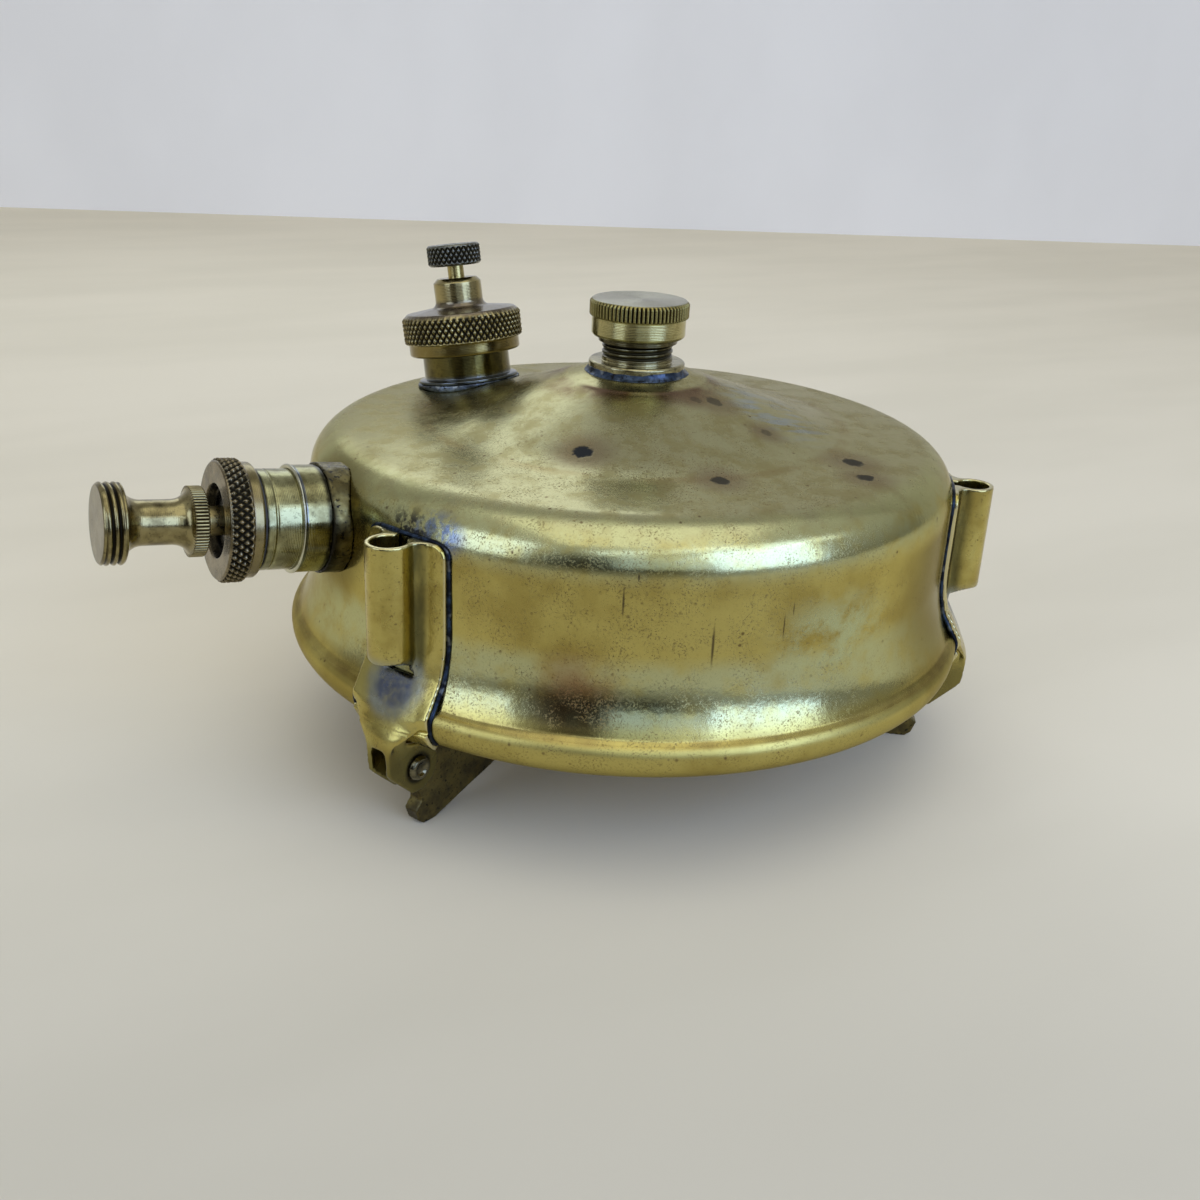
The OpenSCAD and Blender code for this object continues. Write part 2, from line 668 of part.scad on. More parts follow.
tank_top();
tank_bottom();
burner_neck();
fuel_riser();
neck_solder();
travel_cap();
travel_cap_washer();
filler_neck();
filler_solder();
filler_cap();
filler_gasket();
air_screw_stem();
air_screw_knob();
pump_ferrule();
pump_solder();
pump_barrel();
pump_cap();
pump_cap_washer();
pump_rod();
pump_knob();
leather_cup();
cup_backing_washer();
cup_spreader();
cup_nut();
valve_body();
valve_washer();
valve_pip();
valve_cork();
valve_spring();
valve_cap();
bracket(0);  // bracket_a
bracket(1);  // bracket_b
bracket(2);  // bracket_c
bracket_solder(0);  // bracket_solder_a
bracket_solder(1);  // bracket_solder_b
bracket_solder(2);  // bracket_solder_c
foot(0);  // foot_a
foot(1);  // foot_b
foot(2);  // foot_c
rivet(0);  // rivet_a
rivet(1);  // rivet_b
rivet(2);  // rivet_c
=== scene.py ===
# %% [markdown]
# # A small brass pressure stove, packed for travel
# The tank is a drawn brass shell. On it stand a capped burner neck, a filler with its air
# screw, a hand pump and three rod brackets with folding feet. The imported CAD model gives
# every place and size. This file gives the same pieces their fine form (knurls, threads,
# solder, pressed sheet) and their finish: old brass, polished, pitted and tarnished.

# %% Load the frame and its rigid bodies
import json
import bmesh
import bpy
import numpy as np
from mathutils import Matrix

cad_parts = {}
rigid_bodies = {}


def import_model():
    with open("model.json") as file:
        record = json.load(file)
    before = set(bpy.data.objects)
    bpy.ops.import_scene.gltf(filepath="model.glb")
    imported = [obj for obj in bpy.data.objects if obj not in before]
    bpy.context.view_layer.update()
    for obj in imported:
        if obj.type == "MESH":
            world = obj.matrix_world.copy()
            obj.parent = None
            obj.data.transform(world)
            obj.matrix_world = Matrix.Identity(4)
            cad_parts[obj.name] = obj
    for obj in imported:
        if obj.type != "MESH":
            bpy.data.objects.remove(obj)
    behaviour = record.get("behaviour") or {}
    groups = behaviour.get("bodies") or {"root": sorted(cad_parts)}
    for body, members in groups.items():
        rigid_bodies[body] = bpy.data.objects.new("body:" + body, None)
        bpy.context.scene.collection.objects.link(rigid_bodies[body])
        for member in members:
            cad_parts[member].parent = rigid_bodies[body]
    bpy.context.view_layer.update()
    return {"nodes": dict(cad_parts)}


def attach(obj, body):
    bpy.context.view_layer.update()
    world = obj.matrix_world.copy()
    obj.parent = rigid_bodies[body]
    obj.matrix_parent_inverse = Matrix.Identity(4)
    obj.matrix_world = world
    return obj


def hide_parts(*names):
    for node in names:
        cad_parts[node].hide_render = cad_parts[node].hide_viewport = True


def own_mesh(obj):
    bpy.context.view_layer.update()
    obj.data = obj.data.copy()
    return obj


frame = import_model()

# %% [markdown]
# ## Lengths and directions
# All shapes below are worked out in millimetres and go to metres once, when a mesh is made.
# The pump and the filler lean, so each has a frame of its own: a point on its axis and
# three unit vectors, the last of which runs outwards along the axis.

# %% The frames that turned pieces are made in
MM = 0.001


def axis_frame(origin, along, side=(0.0, 1.0, 0.0)):
    """Origin and three unit vectors: the third is `along`, the first is square to it and to `side`."""
    k = np.array(along, float) / np.linalg.norm(along)
    i = np.cross(side, k)
    i /= np.linalg.norm(i)
    return np.array(origin, float), np.stack([i, np.cross(k, i), k])


def turned_point(angle_deg, radius, z):
    """The point at a direction and a distance from the tank's axis."""
    a = np.radians(angle_deg)
    return np.array([radius * np.cos(a), radius * np.sin(a), z])


PUMP_TILT, PUMP_DEPTH = 6.1, 34.6
FILLER_ANGLE, FILLER_DIST, FILLER_TILT = 115.4, 37.2, 9.3
FILLER_BASE_Z = -17.75
lean = np.radians(FILLER_TILT)
UPRIGHT = axis_frame((0, 0, 0), (0, 0, 1))
PUMP = axis_frame((0, 0, -PUMP_DEPTH),
                  (-np.cos(np.radians(PUMP_TILT)), 0, np.sin(np.radians(PUMP_TILT))))
FILLER = axis_frame(turned_point(FILLER_ANGLE, FILLER_DIST, FILLER_BASE_Z),
                    turned_point(FILLER_ANGLE, np.sin(lean), np.cos(lean)))
BRACKETS = {"a": 202.5, "b": 322.5, "c": 82.5}
print("pump axis:", PUMP[1][2].round(4), "filler axis:", FILLER[1][2].round(4))

# %% [markdown]
# ## From a grid of points to a mesh
# Almost every piece is one grid: rows along a profile, columns round or across it. One
# function turns such a grid into quads, closes it where it meets itself, and stores any
# per-vertex measure (such as how deep a knurl is cut) as an attribute that a material reads.

# %% Grid to mesh
def grid_faces(rows, cols, wrap_rows, wrap_cols):
    """Quads between neighbouring rows and columns; a wrapped side also joins last to first."""
    r = np.arange(rows if wrap_rows else rows - 1)
    c = np.arange(cols if wrap_cols else cols - 1)
    r, c = np.meshgrid(r, c, indexing="ij")
    r2, c2 = (r + 1) % rows, (c + 1) % cols
    return np.stack([r * cols + c, r * cols + c2, r2 * cols + c2, r2 * cols + c], -1).reshape(-1, 4)


def mesh_object(name, points, faces, measures=None, smooth=True):
    """Makes an object from points in millimetres; merges doubles and turns faces outwards."""
    mesh = bpy.data.meshes.new(name)
    mesh.from_pydata((points * MM).tolist(), [], [list(f) for f in faces])
    for key, values in (measures or {}).items():
        layer = mesh.attributes.new(key, "FLOAT", "POINT")
        layer.data.foreach_set("value", np.asarray(values, np.float32).ravel())
    work = bmesh.new()
    work.from_mesh(mesh)
    bmesh.ops.remove_doubles(work, verts=work.verts, dist=2e-6)
    bmesh.ops.dissolve_degenerate(work, edges=work.edges, dist=1e-7)
    bmesh.ops.recalc_face_normals(work, faces=work.faces)
    work.to_mesh(mesh)
    work.free()
    mesh.polygons.foreach_set("use_smooth", [smooth] * len(mesh.polygons))
    obj = bpy.data.objects.new(name, mesh)
    bpy.context.scene.collection.objects.link(obj)
    if smooth:
        keep = obj.modifiers.new("even_shading", "WEIGHTED_NORMAL")
        keep.mode, keep.weight = "FACE_AREA", 50
    return obj


# %% [markdown]
# ## Profiles
# A turned piece is a profile of radius and height carried round an axis. A real turned edge
# is never sharp, and the small round on it is what catches the light. So every corner of a
# profile gets a small arc, and long stretches get extra points for relief and stains.

# %% Profile helpers
def arc(cx, cy, r, start, stop, n):
    """Points on a circle from one direction to another, in degrees, both included."""
    a = np.radians(np.linspace(start, stop, n + 1))
    return np.stack([cx + r * np.cos(a), cy + r * np.sin(a)], -1)


def eased(p, corner, q, cut, n):
    """A corner replaced by the parabola that leaves each side `cut` away from it."""
    p, corner, q = (np.array(v, float) for v in (p, corner, q))
    a = corner + (p - corner) * cut / np.linalg.norm(p - corner)
    b = corner + (q - corner) * cut / np.linalg.norm(q - corner)
    t = np.linspace(0, 1, n + 1)[:, None]
    return a * (1 - t) ** 2 + corner * 2 * t * (1 - t) + b * t ** 2


def softened(points, radius=0.15, closed=True, n=3):
    """Each corner of a polygon cut back by `radius`, or by under half its shorter side."""
    pts = np.array(points, float)
    out = []
    count = len(pts)
    for i, corner in enumerate(pts):
        before, after = pts[i - 1], pts[(i + 1) % count]
        on_axis = corner[0] < 1e-6
        if on_axis or (not closed and i in (0, count - 1)):
            out.append(corner[None])
            continue
        sides = np.linalg.norm(before - corner), np.linalg.norm(after - corner)
        cut = min(radius, 0.45 * min(sides))
        out.append(eased(before, corner, after, cut, n))
    return np.concatenate(out)


def refined(points, step, closed=True, plain_below=0.0):
    """Extra points so that no stretch of the profile is longer than `step`, or than three
    times that inside the radius `plain_below`, where nothing is cut into the metal."""
    pts = np.concatenate([points, points[:1]]) if closed else points
    out = []
    for a, b in zip(pts[:-1], pts[1:]):
        longest = 3 * step if min(a[0], b[0]) < plain_below else step
        n = max(1, int(np.ceil(np.linalg.norm(b - a) / longest)))
        out.append(a + (b - a) * (np.arange(n) / n)[:, None])
    if not closed:
        out.append(pts[-1:])
    return np.concatenate(out)


# %% [markdown]
# ## Turning
# `turned` carries a closed profile round an axis. `relief` may move each point outwards by
# an amount that depends on its angle and height: that is how knurls and threads are cut.

# %% The lathe
def turned(name, profile, place=UPRIGHT, turns=160, relief=None):
    """Radius and height pairs carried round the axis of `place`; relief(angle, height, radius)
    gives the outward move in millimetres and a depth from 0, the valley, to 1, the crest."""
    origin, axes = place
    angle = np.linspace(0, 2 * np.pi, turns, endpoint=False)
    radius = np.repeat(profile[:, :1], turns, 1)
    height = np.repeat(profile[:, 1:], turns, 1)
    angle = np.repeat(angle[None], len(profile), 0)
    depth = np.ones_like(radius)
    if relief is not None:
        move, depth = relief(angle, height, radius)
        radius = radius + move
    local = np.stack([radius * np.cos(angle), radius * np.sin(angle), height], -1)
    points = origin + local @ axes
    faces = grid_faces(len(profile), turns, True, True)
    measures = {"depth": depth, "height": height, "radius": radius}
    return mesh_object(name, points.reshape(-1, 3), faces, measures)


def ridge(x):
    """A wave of straight flanks: 0 at whole numbers, 1 half-way between them."""
    return 1 - 2 * np.abs((x % 1) - 0.5)


def diamond_knurl(r0, lo, hi, count, cut, lead=1.0):
    """Two crossed sets of straight grooves; each point is as deep as the deeper groove."""
    pitch = 2 * np.pi * r0 / count * lead

    def relief(angle, height, radius):
        turn = angle * count / (2 * np.pi)
        a, b = ridge(turn + height / pitch), ridge(turn - height / pitch)
        crest = np.clip(np.minimum(a, b) * 1.5, 0, 1)
        fade = np.clip((height - lo) / 0.25, 0, 1) * np.clip((hi - height) / 0.25, 0, 1)
        fade = fade * (np.abs(radius - r0) < 0.35)
        return -cut * (1 - crest) * fade, 1 - (1 - crest) * fade
    return relief


def straight_knurl(r0, lo, hi, count, cut):
    """Grooves along the axis, as on a coin's edge."""
    def relief(angle, height, radius):
        crest = np.clip(ridge(angle * count / (2 * np.pi)) * 1.6, 0, 1)
        fade = np.clip((height - lo) / 0.12, 0, 1) * np.clip((hi - height) / 0.12, 0, 1)
        fade = fade * (np.abs(radius - r0) < 0.45)
        return -cut * (1 - crest) * fade, 1 - (1 - crest) * fade
    return relief


def thread(r0, lo, hi, pitch, cut):
    """One groove that climbs by a pitch in each turn and runs out at both ends."""
    def relief(angle, height, radius):
        crest = np.clip(ridge(height / pitch - angle / (2 * np.pi)) * 1.35, 0, 1)
        fade = np.clip((height - lo) / 0.3, 0, 1) * np.clip((hi - height) / 0.3, 0, 1)
        fade = fade * (np.abs(radius - r0) < 0.5)
        return -cut * (1 - crest) * fade, 1 - (1 - crest) * fade
    return relief


print("lathe ready")

# %% [markdown]
# ## The tank's upper shell
# A disc of brass drawn over a former: a pad for the burner neck, a cone, a level ring, a
# tight turn into the wall, and a flare that ends in a rolled band. Its profile is the same
# as the CAD's, with far more points, and a sheet's thickness on the inside. Drawn sheet is
# never quite even, and polished brass shows it at once in its reflections, so slow swells
# of a few hundredths of a millimetre are added along the profile's normal.

# %% The shell's profile
SHEET = 0.8
PAD_Z, SHOULDER_Z, BAND_Z = -9.4, -18.7, -52.4
WALL_R, BAND_R, TURN_R = 55.8, 60.0, 7.8
CREASE_R, CREASE_Z = 58.55, -50.33
FLARE_TOP_Z = -39.0
flare_r = ((CREASE_R - WALL_R) ** 2 + (FLARE_TOP_Z - CREASE_Z) ** 2) / (2 * (CREASE_R - WALL_R))
flare_turn = np.degrees(np.arcsin((FLARE_TOP_Z - CREASE_Z) / flare_r))
shell_line = np.concatenate([
    [[6.6, PAD_Z], [8.6, PAD_Z]], eased((8.6, PAD_Z), (9.4, PAD_Z), (12.5, -10.2), 0.6, 4),
    eased((11.0, -9.82), (12.6, -10.22), (13.6, -10.78), 0.5, 6),
    eased((12.8, -10.5), (34.7, -17.6), (48.0, -18.7), 4, 14),
    arc(48.0, SHOULDER_Z - TURN_R, TURN_R, 84, 0, 26),
    arc(WALL_R + flare_r, FLARE_TOP_Z, flare_r, 180, 178 + flare_turn, 18),
    eased((58.05, -49.4), (CREASE_R, CREASE_Z), (59.2, -50.7), 0.6, 6),
    arc(BAND_R - 2.2, BAND_Z, 2.2, 52, 0, 8), arc(BAND_R - 4.6, BAND_Z, 4.6, -9, -90, 16),
    [[53.8, BAND_Z - 4.6]]])
shell_line = refined(shell_line, 0.62, closed=False)
print("shell line:", len(shell_line), "points, flare radius", round(flare_r, 1))


# %% The shell as a surface of angle and length
def line_normals(line):
    """Unit normals on the outer side of a line that runs outwards and down."""
    step = np.gradient(line, axis=0)
    step /= np.linalg.norm(step, axis=1)[:, None]
    return np.stack([-step[:, 1], step[:, 0]], -1)


def swell(angle, length):
    """Sums of slow sine waves in angle and length, at most a twentieth of a millimetre."""
    waves = [(3, 0.11, 0.9, 0.016), (5, 0.21, 2.2, 0.013), (8, 0.16, 4.0, 0.011),
             (11, 0.33, 5.1, 0.006), (17, 0.45, 1.3, 0.004)]
    total = sum(size * np.sin(n * angle + k * length + start) for n, k, start, size in waves)
    return total * np.clip((length - 8) / 12, 0, 1)


def shell_of(name, line, sheet, turns):
    """Outer line, then the inner line back, each point moved along its normal and turned."""
    normals = line_normals(line)
    length = np.concatenate([[0], np.cumsum(np.linalg.norm(np.diff(line, axis=0), axis=1))])
    angle = np.linspace(0, 2 * np.pi, turns, endpoint=False)[None]
    rows = [line[:, None] + normals[:, None] * swell(angle, length[:, None])[..., None]]
    inner = np.arange(0, len(line), 3)[::-1]
    rows.append(np.repeat((line - normals * sheet)[inner, None], turns, 1))
    grid = np.concatenate(rows)
    points = np.stack([grid[..., 0] * np.cos(angle), grid[..., 0] * np.sin(angle), grid[..., 1]], -1)
    return mesh_object(name, points.reshape(-1, 3), grid_faces(len(grid), turns, True, True))


shell = shell_of("tank_shell", shell_line, SHEET, 340)
print("tank_shell:", len(shell.data.polygons), "faces")


# %% Holes for the filler and the pump
def applied(obj):
    """Replaces an object's mesh by what its modifiers make of it."""
    bpy.context.view_layer.update()
    made = bpy.data.meshes.new_from_object(obj.evaluated_get(bpy.context.evaluated_depsgraph_get()))
    obj.modifiers.clear()
    obj.data = made
    return obj


def bored(obj, place, radius, start, stop):
    """Cuts a round hole along an axis frame, from one height to another."""
    drill = turned("drill", np.array([[0, start], [radius, start], [radius, stop], [0, stop]]), place, 96)
    drill.modifiers.clear()
    cut = obj.modifiers.new("bore", "BOOLEAN")
    cut.object, cut.solver = drill, "EXACT"
    applied(obj)
    bpy.data.objects.remove(drill)


shell.modifiers.clear()
bored(shell, FILLER, 8.05, -8, 8)
bored(shell, PUMP, 7.85, 40, 70)
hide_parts("tank_top")
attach(shell, "tank")
print("after both holes:", len(shell.data.polygons), "faces")

# %% [markdown]
# ## The dished bottom
# The bottom is a shallow dish pressed into the shell's lip and soldered there. Seen from
# below it shows the seam and the rings of the press tool, so its profile gets both.

# %% The bottom
rise = np.linspace(0, 1, 60)
dish_low = np.stack([50.2 * rise, -57 + SHEET + 4.5 * np.cos(np.pi / 2 * rise)], -1)
dish_low[:, 1] += 0.06 * np.sin(dish_low[:, 0] * 1.1) * (rise < 0.97)
dish_low = np.concatenate([dish_low, [[54.8, -56.2]]])
dish = np.concatenate([dish_low, (dish_low + [0, SHEET])[::-1]])
bottom = turned("tank_dish", refined(dish, 1.2), UPRIGHT, 240)
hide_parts("tank_bottom")
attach(bottom, "tank")
print("tank_dish:", len(bottom.data.polygons), "faces")

# %% [markdown]
# ## The burner neck and its travel cap
# The neck is turned, with a flange that is soldered to the pad and a thread that the
# travel cap screws on. The cap has a coin-like edge, a plain collar and a narrow lip.

# %% Burner neck
NECK_R, COARSE_PITCH = 6.1, 1.0
neck_line = softened([(2.42, -12.4), (6.5, -12.4), (6.5, -9.4), (8.3, -9.4), (8.3, -7.7), (8.0, -7.4),
                      (NECK_R, -7.4), (NECK_R, -0.5), (5.6, 0), (3.6, 0), (3.6, -9), (2.42, -9)], 0.12)
neck = turned("neck_threaded", refined(neck_line, 0.12), UPRIGHT, 150,
              thread(NECK_R, -6.8, -0.2, COARSE_PITCH, 0.42))
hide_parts("burner_neck")
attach(neck, "tank")

# %% Travel cap
CAP_R, CAP_TOP, CAP_TEETH = 8.5, 2.9, 72
cap_line = softened([(6.2, -4.2), (6.8, -4.2), (6.8, -3.3), (7.65, -3.3), (8.05, -2.9), (8.05, 0.05),
                     (8.3, 0.05), (CAP_R, 0.25), (CAP_R, 2.4), (8.0, CAP_TOP), (0, CAP_TOP),
                     (0, 1.2), (6.2, 1.2)], 0.14)
cap = turned("travel_cap_turned", refined(cap_line, 0.25), UPRIGHT, 8 * CAP_TEETH,
             straight_knurl(CAP_R, 0.1, 2.75, CAP_TEETH, 0.38))
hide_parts("travel_cap")
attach(cap, "travel_cap")
print("neck:", len(neck.data.polygons), "cap:", len(cap.data.polygons))

# %% [markdown]
# ## The filler, its cap and the air screw
# The filler cap is the largest turned piece: a diamond-knurled rim, and a hub with a
# fillet at its foot. The air screw stands in the hub, with a small knurled knob.

# %% Filler neck and cap
filler_line = softened([(6.6, -3.5), (8, -3.5), (8, 0.95), (9.2, 0.95), (9.2, 1.45), (8.9, 1.6),
                        (8.1, 1.75), (8, 10.3), (7.5, 10.8), (6.6, 10.8)], 0.12)
filler = turned("filler_turned", refined(filler_line, 0.2), FILLER, 160,
                thread(8, 6.2, 10.2, COARSE_PITCH, 0.35))
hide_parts("filler_neck")
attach(filler, "tank")

FCAP_R = 11.05
fillet = arc(5.6, 15.5, 1.2, 270, 180, 6)
fcap_line = np.concatenate([
    softened([(8.1, 6), (10.0, 6), (10.3, 6.3), (10.3, 8.3), (10.8, 8.3), (FCAP_R, 8.6), (FCAP_R, 12.7),
              (10.05, 13.7), (7.0, 14.15)], 0.16, closed=False)[:-1],
    fillet, softened([(4.4, 15.6), (4.4, 18.8), (3.6, 19.6), (1.55, 19.6), (1.55, 14.2), (0.7, 13.2),
                      (0.7, 11.9), (8.1, 11.9), (8.1, 6.5)], 0.14, closed=False)])
fcap = turned("filler_cap_turned", refined(fcap_line, 0.2, plain_below=10.6), FILLER, 520,
              diamond_knurl(FCAP_R, 8.45, 13.0, 58, 0.42, 1.4))
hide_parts("filler_cap")
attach(fcap, "filler_cap")
print("filler cap:", len(fcap.data.polygons), "faces")

# %% Vent hole, air screw
drill_place = (FILLER[0] + FILLER[1][2] * 15.2,
               axis_frame((0, 0, 0), FILLER[1][0], FILLER[1][1])[1])
bored(fcap, drill_place, 0.5, 0, 6)
stem_line = softened([(0, 13.3), (0.62, 13.3), (1.5, 14.35), (1.5, 23.9), (0, 23.9)], 0.1)
stem = turned("air_stem_turned", refined(stem_line, 0.12), FILLER, 72,
              thread(1.5, 14.6, 19.2, 0.5, 0.18))
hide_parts("air_screw_stem")
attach(stem, "air_stem")
knob_line = softened([(1.55, 21.8), (4.5, 21.8), (4.9, 22.2), (4.9, 25.2), (4.5, 25.6), (3.2, 25.6),
                      (2.9, 25.45), (0, 25.45), (0, 23.95), (1.55, 23.95)], 0.12)
air_knob = turned("air_knob_turned", refined(knob_line, 0.14), FILLER, 360,
                  diamond_knurl(4.9, 22.1, 25.3, 30, 0.32, 1.4))
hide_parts("air_screw_knob")
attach(air_knob, "air_knob")

# %% [markdown]
# ## The pump
# From the tank outwards: a short ferrule, the barrel, the diamond-knurled cap and the
# plunger's knob. The knob's far end carries the same thread as the burner neck, so that
# it can store the travel cap while the stove burns.

# %% Ferrule and barrel
BARREL_R, BARREL_END = 7.8, 68.4
ferrule_line = softened([(7.82, 58.6), (8.35, 58.6), (8.35, 62.6), (8.5, 62.75), (8.5, 62.95),
                         (8.2, 63.1), (7.82, 63.1)], 0.1)
ferrule = turned("ferrule_turned", refined(ferrule_line, 0.3), PUMP, 160)
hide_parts("pump_ferrule")
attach(ferrule, "tank")
barrel_line = softened([(2.95, 17), (BARREL_R, 17), (BARREL_R, 66.6), (7.68, 66.75), (7.68, 66.95),
                        (BARREL_R, 67.1), (BARREL_R, BARREL_END), (7.0, BARREL_END), (7.0, 19),
                        (2.95, 19)], 0.1)
barrel = turned("barrel_turned", refined(barrel_line, 0.8), PUMP, 160)
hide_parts("pump_barrel")
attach(barrel, "tank")

# %% Pump cap
PCAP_R = 9.45
pcap_line = softened([(2.3, 61.9), (6.9, 61.9), (6.9, 68.9), (8.55, 68.9), (8.85, 69.2), (8.85, 70.7),
                      (9.15, 70.7), (PCAP_R, 71.0), (PCAP_R, 73.6), (8.85, 74.2), (5.7, 74.2),
                      (5.3, 72.7), (2.3, 72.7)], 0.15)
pcap = turned("pump_cap_turned", refined(pcap_line, 0.22), PUMP, 448,
              diamond_knurl(PCAP_R, 70.85, 74.0, 46, 0.5, 1.25))
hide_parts("pump_cap")
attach(pcap, "pump_cap")

# %% Plunger knob
KNOB_TEETH = 62
t = np.linspace(0, np.pi / 2, 12)
flare_in = np.stack([3.4 + 1.95 * (1 - np.sin(t)), 78.2 + 2.5 * (1 - np.cos(t))], -1)
flare_up = np.stack([3.4 + 2.3 * (1 - np.cos(t)), 84.9 + 2.7 * np.sin(t)], -1)
pknob_line = np.concatenate([
    softened([(2.25, 76.1), (5.15, 76.1), (5.35, 76.3), (5.35, 78.2)], 0.1, closed=False)[:-1],
    flare_in, flare_up,
    softened([(5.9, 87.7), (NECK_R, 88.0), (NECK_R, 90.7), (5.7, 91.1), (0, 91.1)], 0.1, closed=False),
    [[0, 82.1], [2.25, 82.1]]])


def knob_relief(angle, height, radius):
    """Coin edge on the inner flange and a thread of three ridges on the outer end."""
    a, deep_a = straight_knurl(5.35, 76.2, 78.3, KNOB_TEETH, 0.24)(angle, height, radius)
    b, deep_b = thread(NECK_R, 87.9, 90.8, COARSE_PITCH, 0.5)(angle, height, radius)
    return a + b, np.minimum(deep_a, deep_b)


pknob = turned("pump_knob_turned", refined(pknob_line, 0.14, plain_below=5.2), PUMP, 8 * KNOB_TEETH,
               knob_relief)
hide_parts("pump_knob")
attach(pknob, "plunger")
print("pump cap:", len(pcap.data.polygons), "knob:", len(pknob.data.polygons))

# %% [markdown]
# ## Solder
# Solder runs into a soft, uneven fillet round each joint and goes blue-black with heat.
# Each ring is a half-round section whose size wanders with the angle.

# %% Solder rings
def wander(angle, seed, size):
    """A few sine waves of whole-number frequency with fixed phases: smooth, and closed on itself."""
    rng = np.random.default_rng(seed)
    return sum(size / np.sqrt(n) * np.sin(n * angle + rng.uniform(0, 6.28))
               for n in (2, 3, 5, 8, 13, 21))


def solder_ring(name, place, inner, z_low, width, height, seed, turns=220):
    """A quarter-round fillet against a cylinder of radius `inner`, from `z_low` upwards."""
    angle = np.linspace(0, 2 * np.pi, turns, endpoint=False)
    wide = width * (1 + wander(angle, seed, 0.13))
    tall = height * (1 + wander(angle, seed + 1, 0.15))
    t = np.radians(np.linspace(0, 90, 9))
    r = inner + wide[None] * (1 - np.sin(t))[:, None] ** 0.8 + 0.02
    z = z_low + tall[None] * (1 - np.cos(t))[:, None] ** 0.8
    r = np.concatenate([r, np.full((2, turns), inner - 0.3)])
    z = np.concatenate([z, z[-1:], np.full((1, turns), z_low - 0.25)])
    z[0] -= 0.25
    origin, axes = place
    local = np.stack([r * np.cos(angle), r * np.sin(angle), z], -1)
    points = (origin + local @ axes).reshape(-1, 3)
    return mesh_object(name, points, grid_faces(len(r), turns, True, True))


neck_ring = solder_ring("neck_solder_ring", UPRIGHT, 8.3, -9.4, 0.85, 1.0, 4)
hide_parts("neck_solder")
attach(neck_ring, "tank")
print("neck solder:", len(neck_ring.data.polygons))


# %% Uneven copies of the CAD's solder and sheet pieces
def lattice_noise(points, cell, seed):
    """Values on a cubic lattice, blended smoothly between its eight nearest corners."""
    rng = np.random.default_rng(seed)
    table = rng.uniform(-1, 1, (32, 32, 32))
    p = points / cell
    i = np.floor(p).astype(int)
    f = p - i
    f = f * f * (3 - 2 * f)
    total = np.zeros(len(points))
    for corner in np.ndindex(2, 2, 2):
        c = np.array(corner)
        weight = np.prod(np.where(c, f, 1 - f), axis=1)
        total += weight * table[tuple(((i + c) % 32).T)]
    return total


def remade(node, name, voxel, rounds, lumps=0.0, cell=1.5, seed=1):
    """A CAD node's own shape with even small faces, softened edges and lumps along its normals."""
    obj = bpy.data.objects.new(name, frame["nodes"][node].data.copy())
    bpy.context.scene.collection.objects.link(obj)
    work = bmesh.new()
    work.from_mesh(obj.data)
    bmesh.ops.remove_doubles(work, verts=work.verts, dist=1e-6)
    work.to_mesh(obj.data)
    work.free()
    grid = obj.modifiers.new("even", "REMESH")
    grid.mode, grid.voxel_size, grid.adaptivity = "VOXEL", voxel * MM, 0
    if rounds:
        soft = obj.modifiers.new("soft", "SMOOTH")
        soft.factor, soft.iterations = 0.5, rounds
    applied(obj)
    mesh = obj.data
    place = np.empty(len(mesh.vertices) * 3)
    normal = np.empty(len(mesh.vertices) * 3)
    mesh.vertices.foreach_get("co", place)
    mesh.vertex_normals.foreach_get("vector", normal)
    place, normal = place.reshape(-1, 3) / MM, normal.reshape(-1, 3)
    if lumps:
        place = place + normal * (lumps * lattice_noise(place, cell, seed))[:, None]
    mesh.vertices.foreach_set("co", (place * MM).ravel())
    mesh.materials.clear()
    mesh.polygons.foreach_set("use_smooth", [True] * len(mesh.polygons))
    mesh.update()
    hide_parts(node)
    return obj


filler_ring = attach(remade("filler_solder", "filler_solder_ring", 0.16, 6, 0.16, 1.6, 3), "tank")
pump_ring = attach(remade("pump_solder", "pump_solder_ring", 0.2, 6, 0.16, 1.8, 5), "tank")
print("filler solder:", len(filler_ring.data.polygons), "pump solder:", len(pump_ring.data.polygons))

# %% [markdown]
# ## Rod brackets
# Each bracket is one pressed strip of brass: a strap against the tank, a loop that takes a
# rod, and two ears round a foot. The CAD has the exact sheet. Here it is cut into small
# even faces and softened, which gives its edges the small round that real pressed sheet
# has. The same mesh serves all three, turned about the tank's axis.

# %% One bracket, used three times
def mesh_points(mesh):
    """The vertices as an array, in millimetres."""
    co = np.empty(len(mesh.vertices) * 3)
    mesh.vertices.foreach_get("co", co)
    return co.reshape(-1, 3) / MM


def ramp(x, low, high):
    """0 below `low`, 1 above `high`, smooth between."""
    t = np.clip((x - low) / (high - low), 0, 1)
    return t * t * (3 - 2 * t)


def about_axis(points, angle_deg):
    """Points turned about the tank's axis."""
    a = np.radians(angle_deg)
    turn = np.array([[np.cos(a), -np.sin(a), 0], [np.sin(a), np.cos(a), 0], [0, 0, 1]])
    return points @ turn.T


def inside(x, start, full, stop, end):
    """0 below `start`, 1 from `full` to `stop`, 0 above `end`."""
    return ramp(x, start, full) * (1 - ramp(x, stop, end))


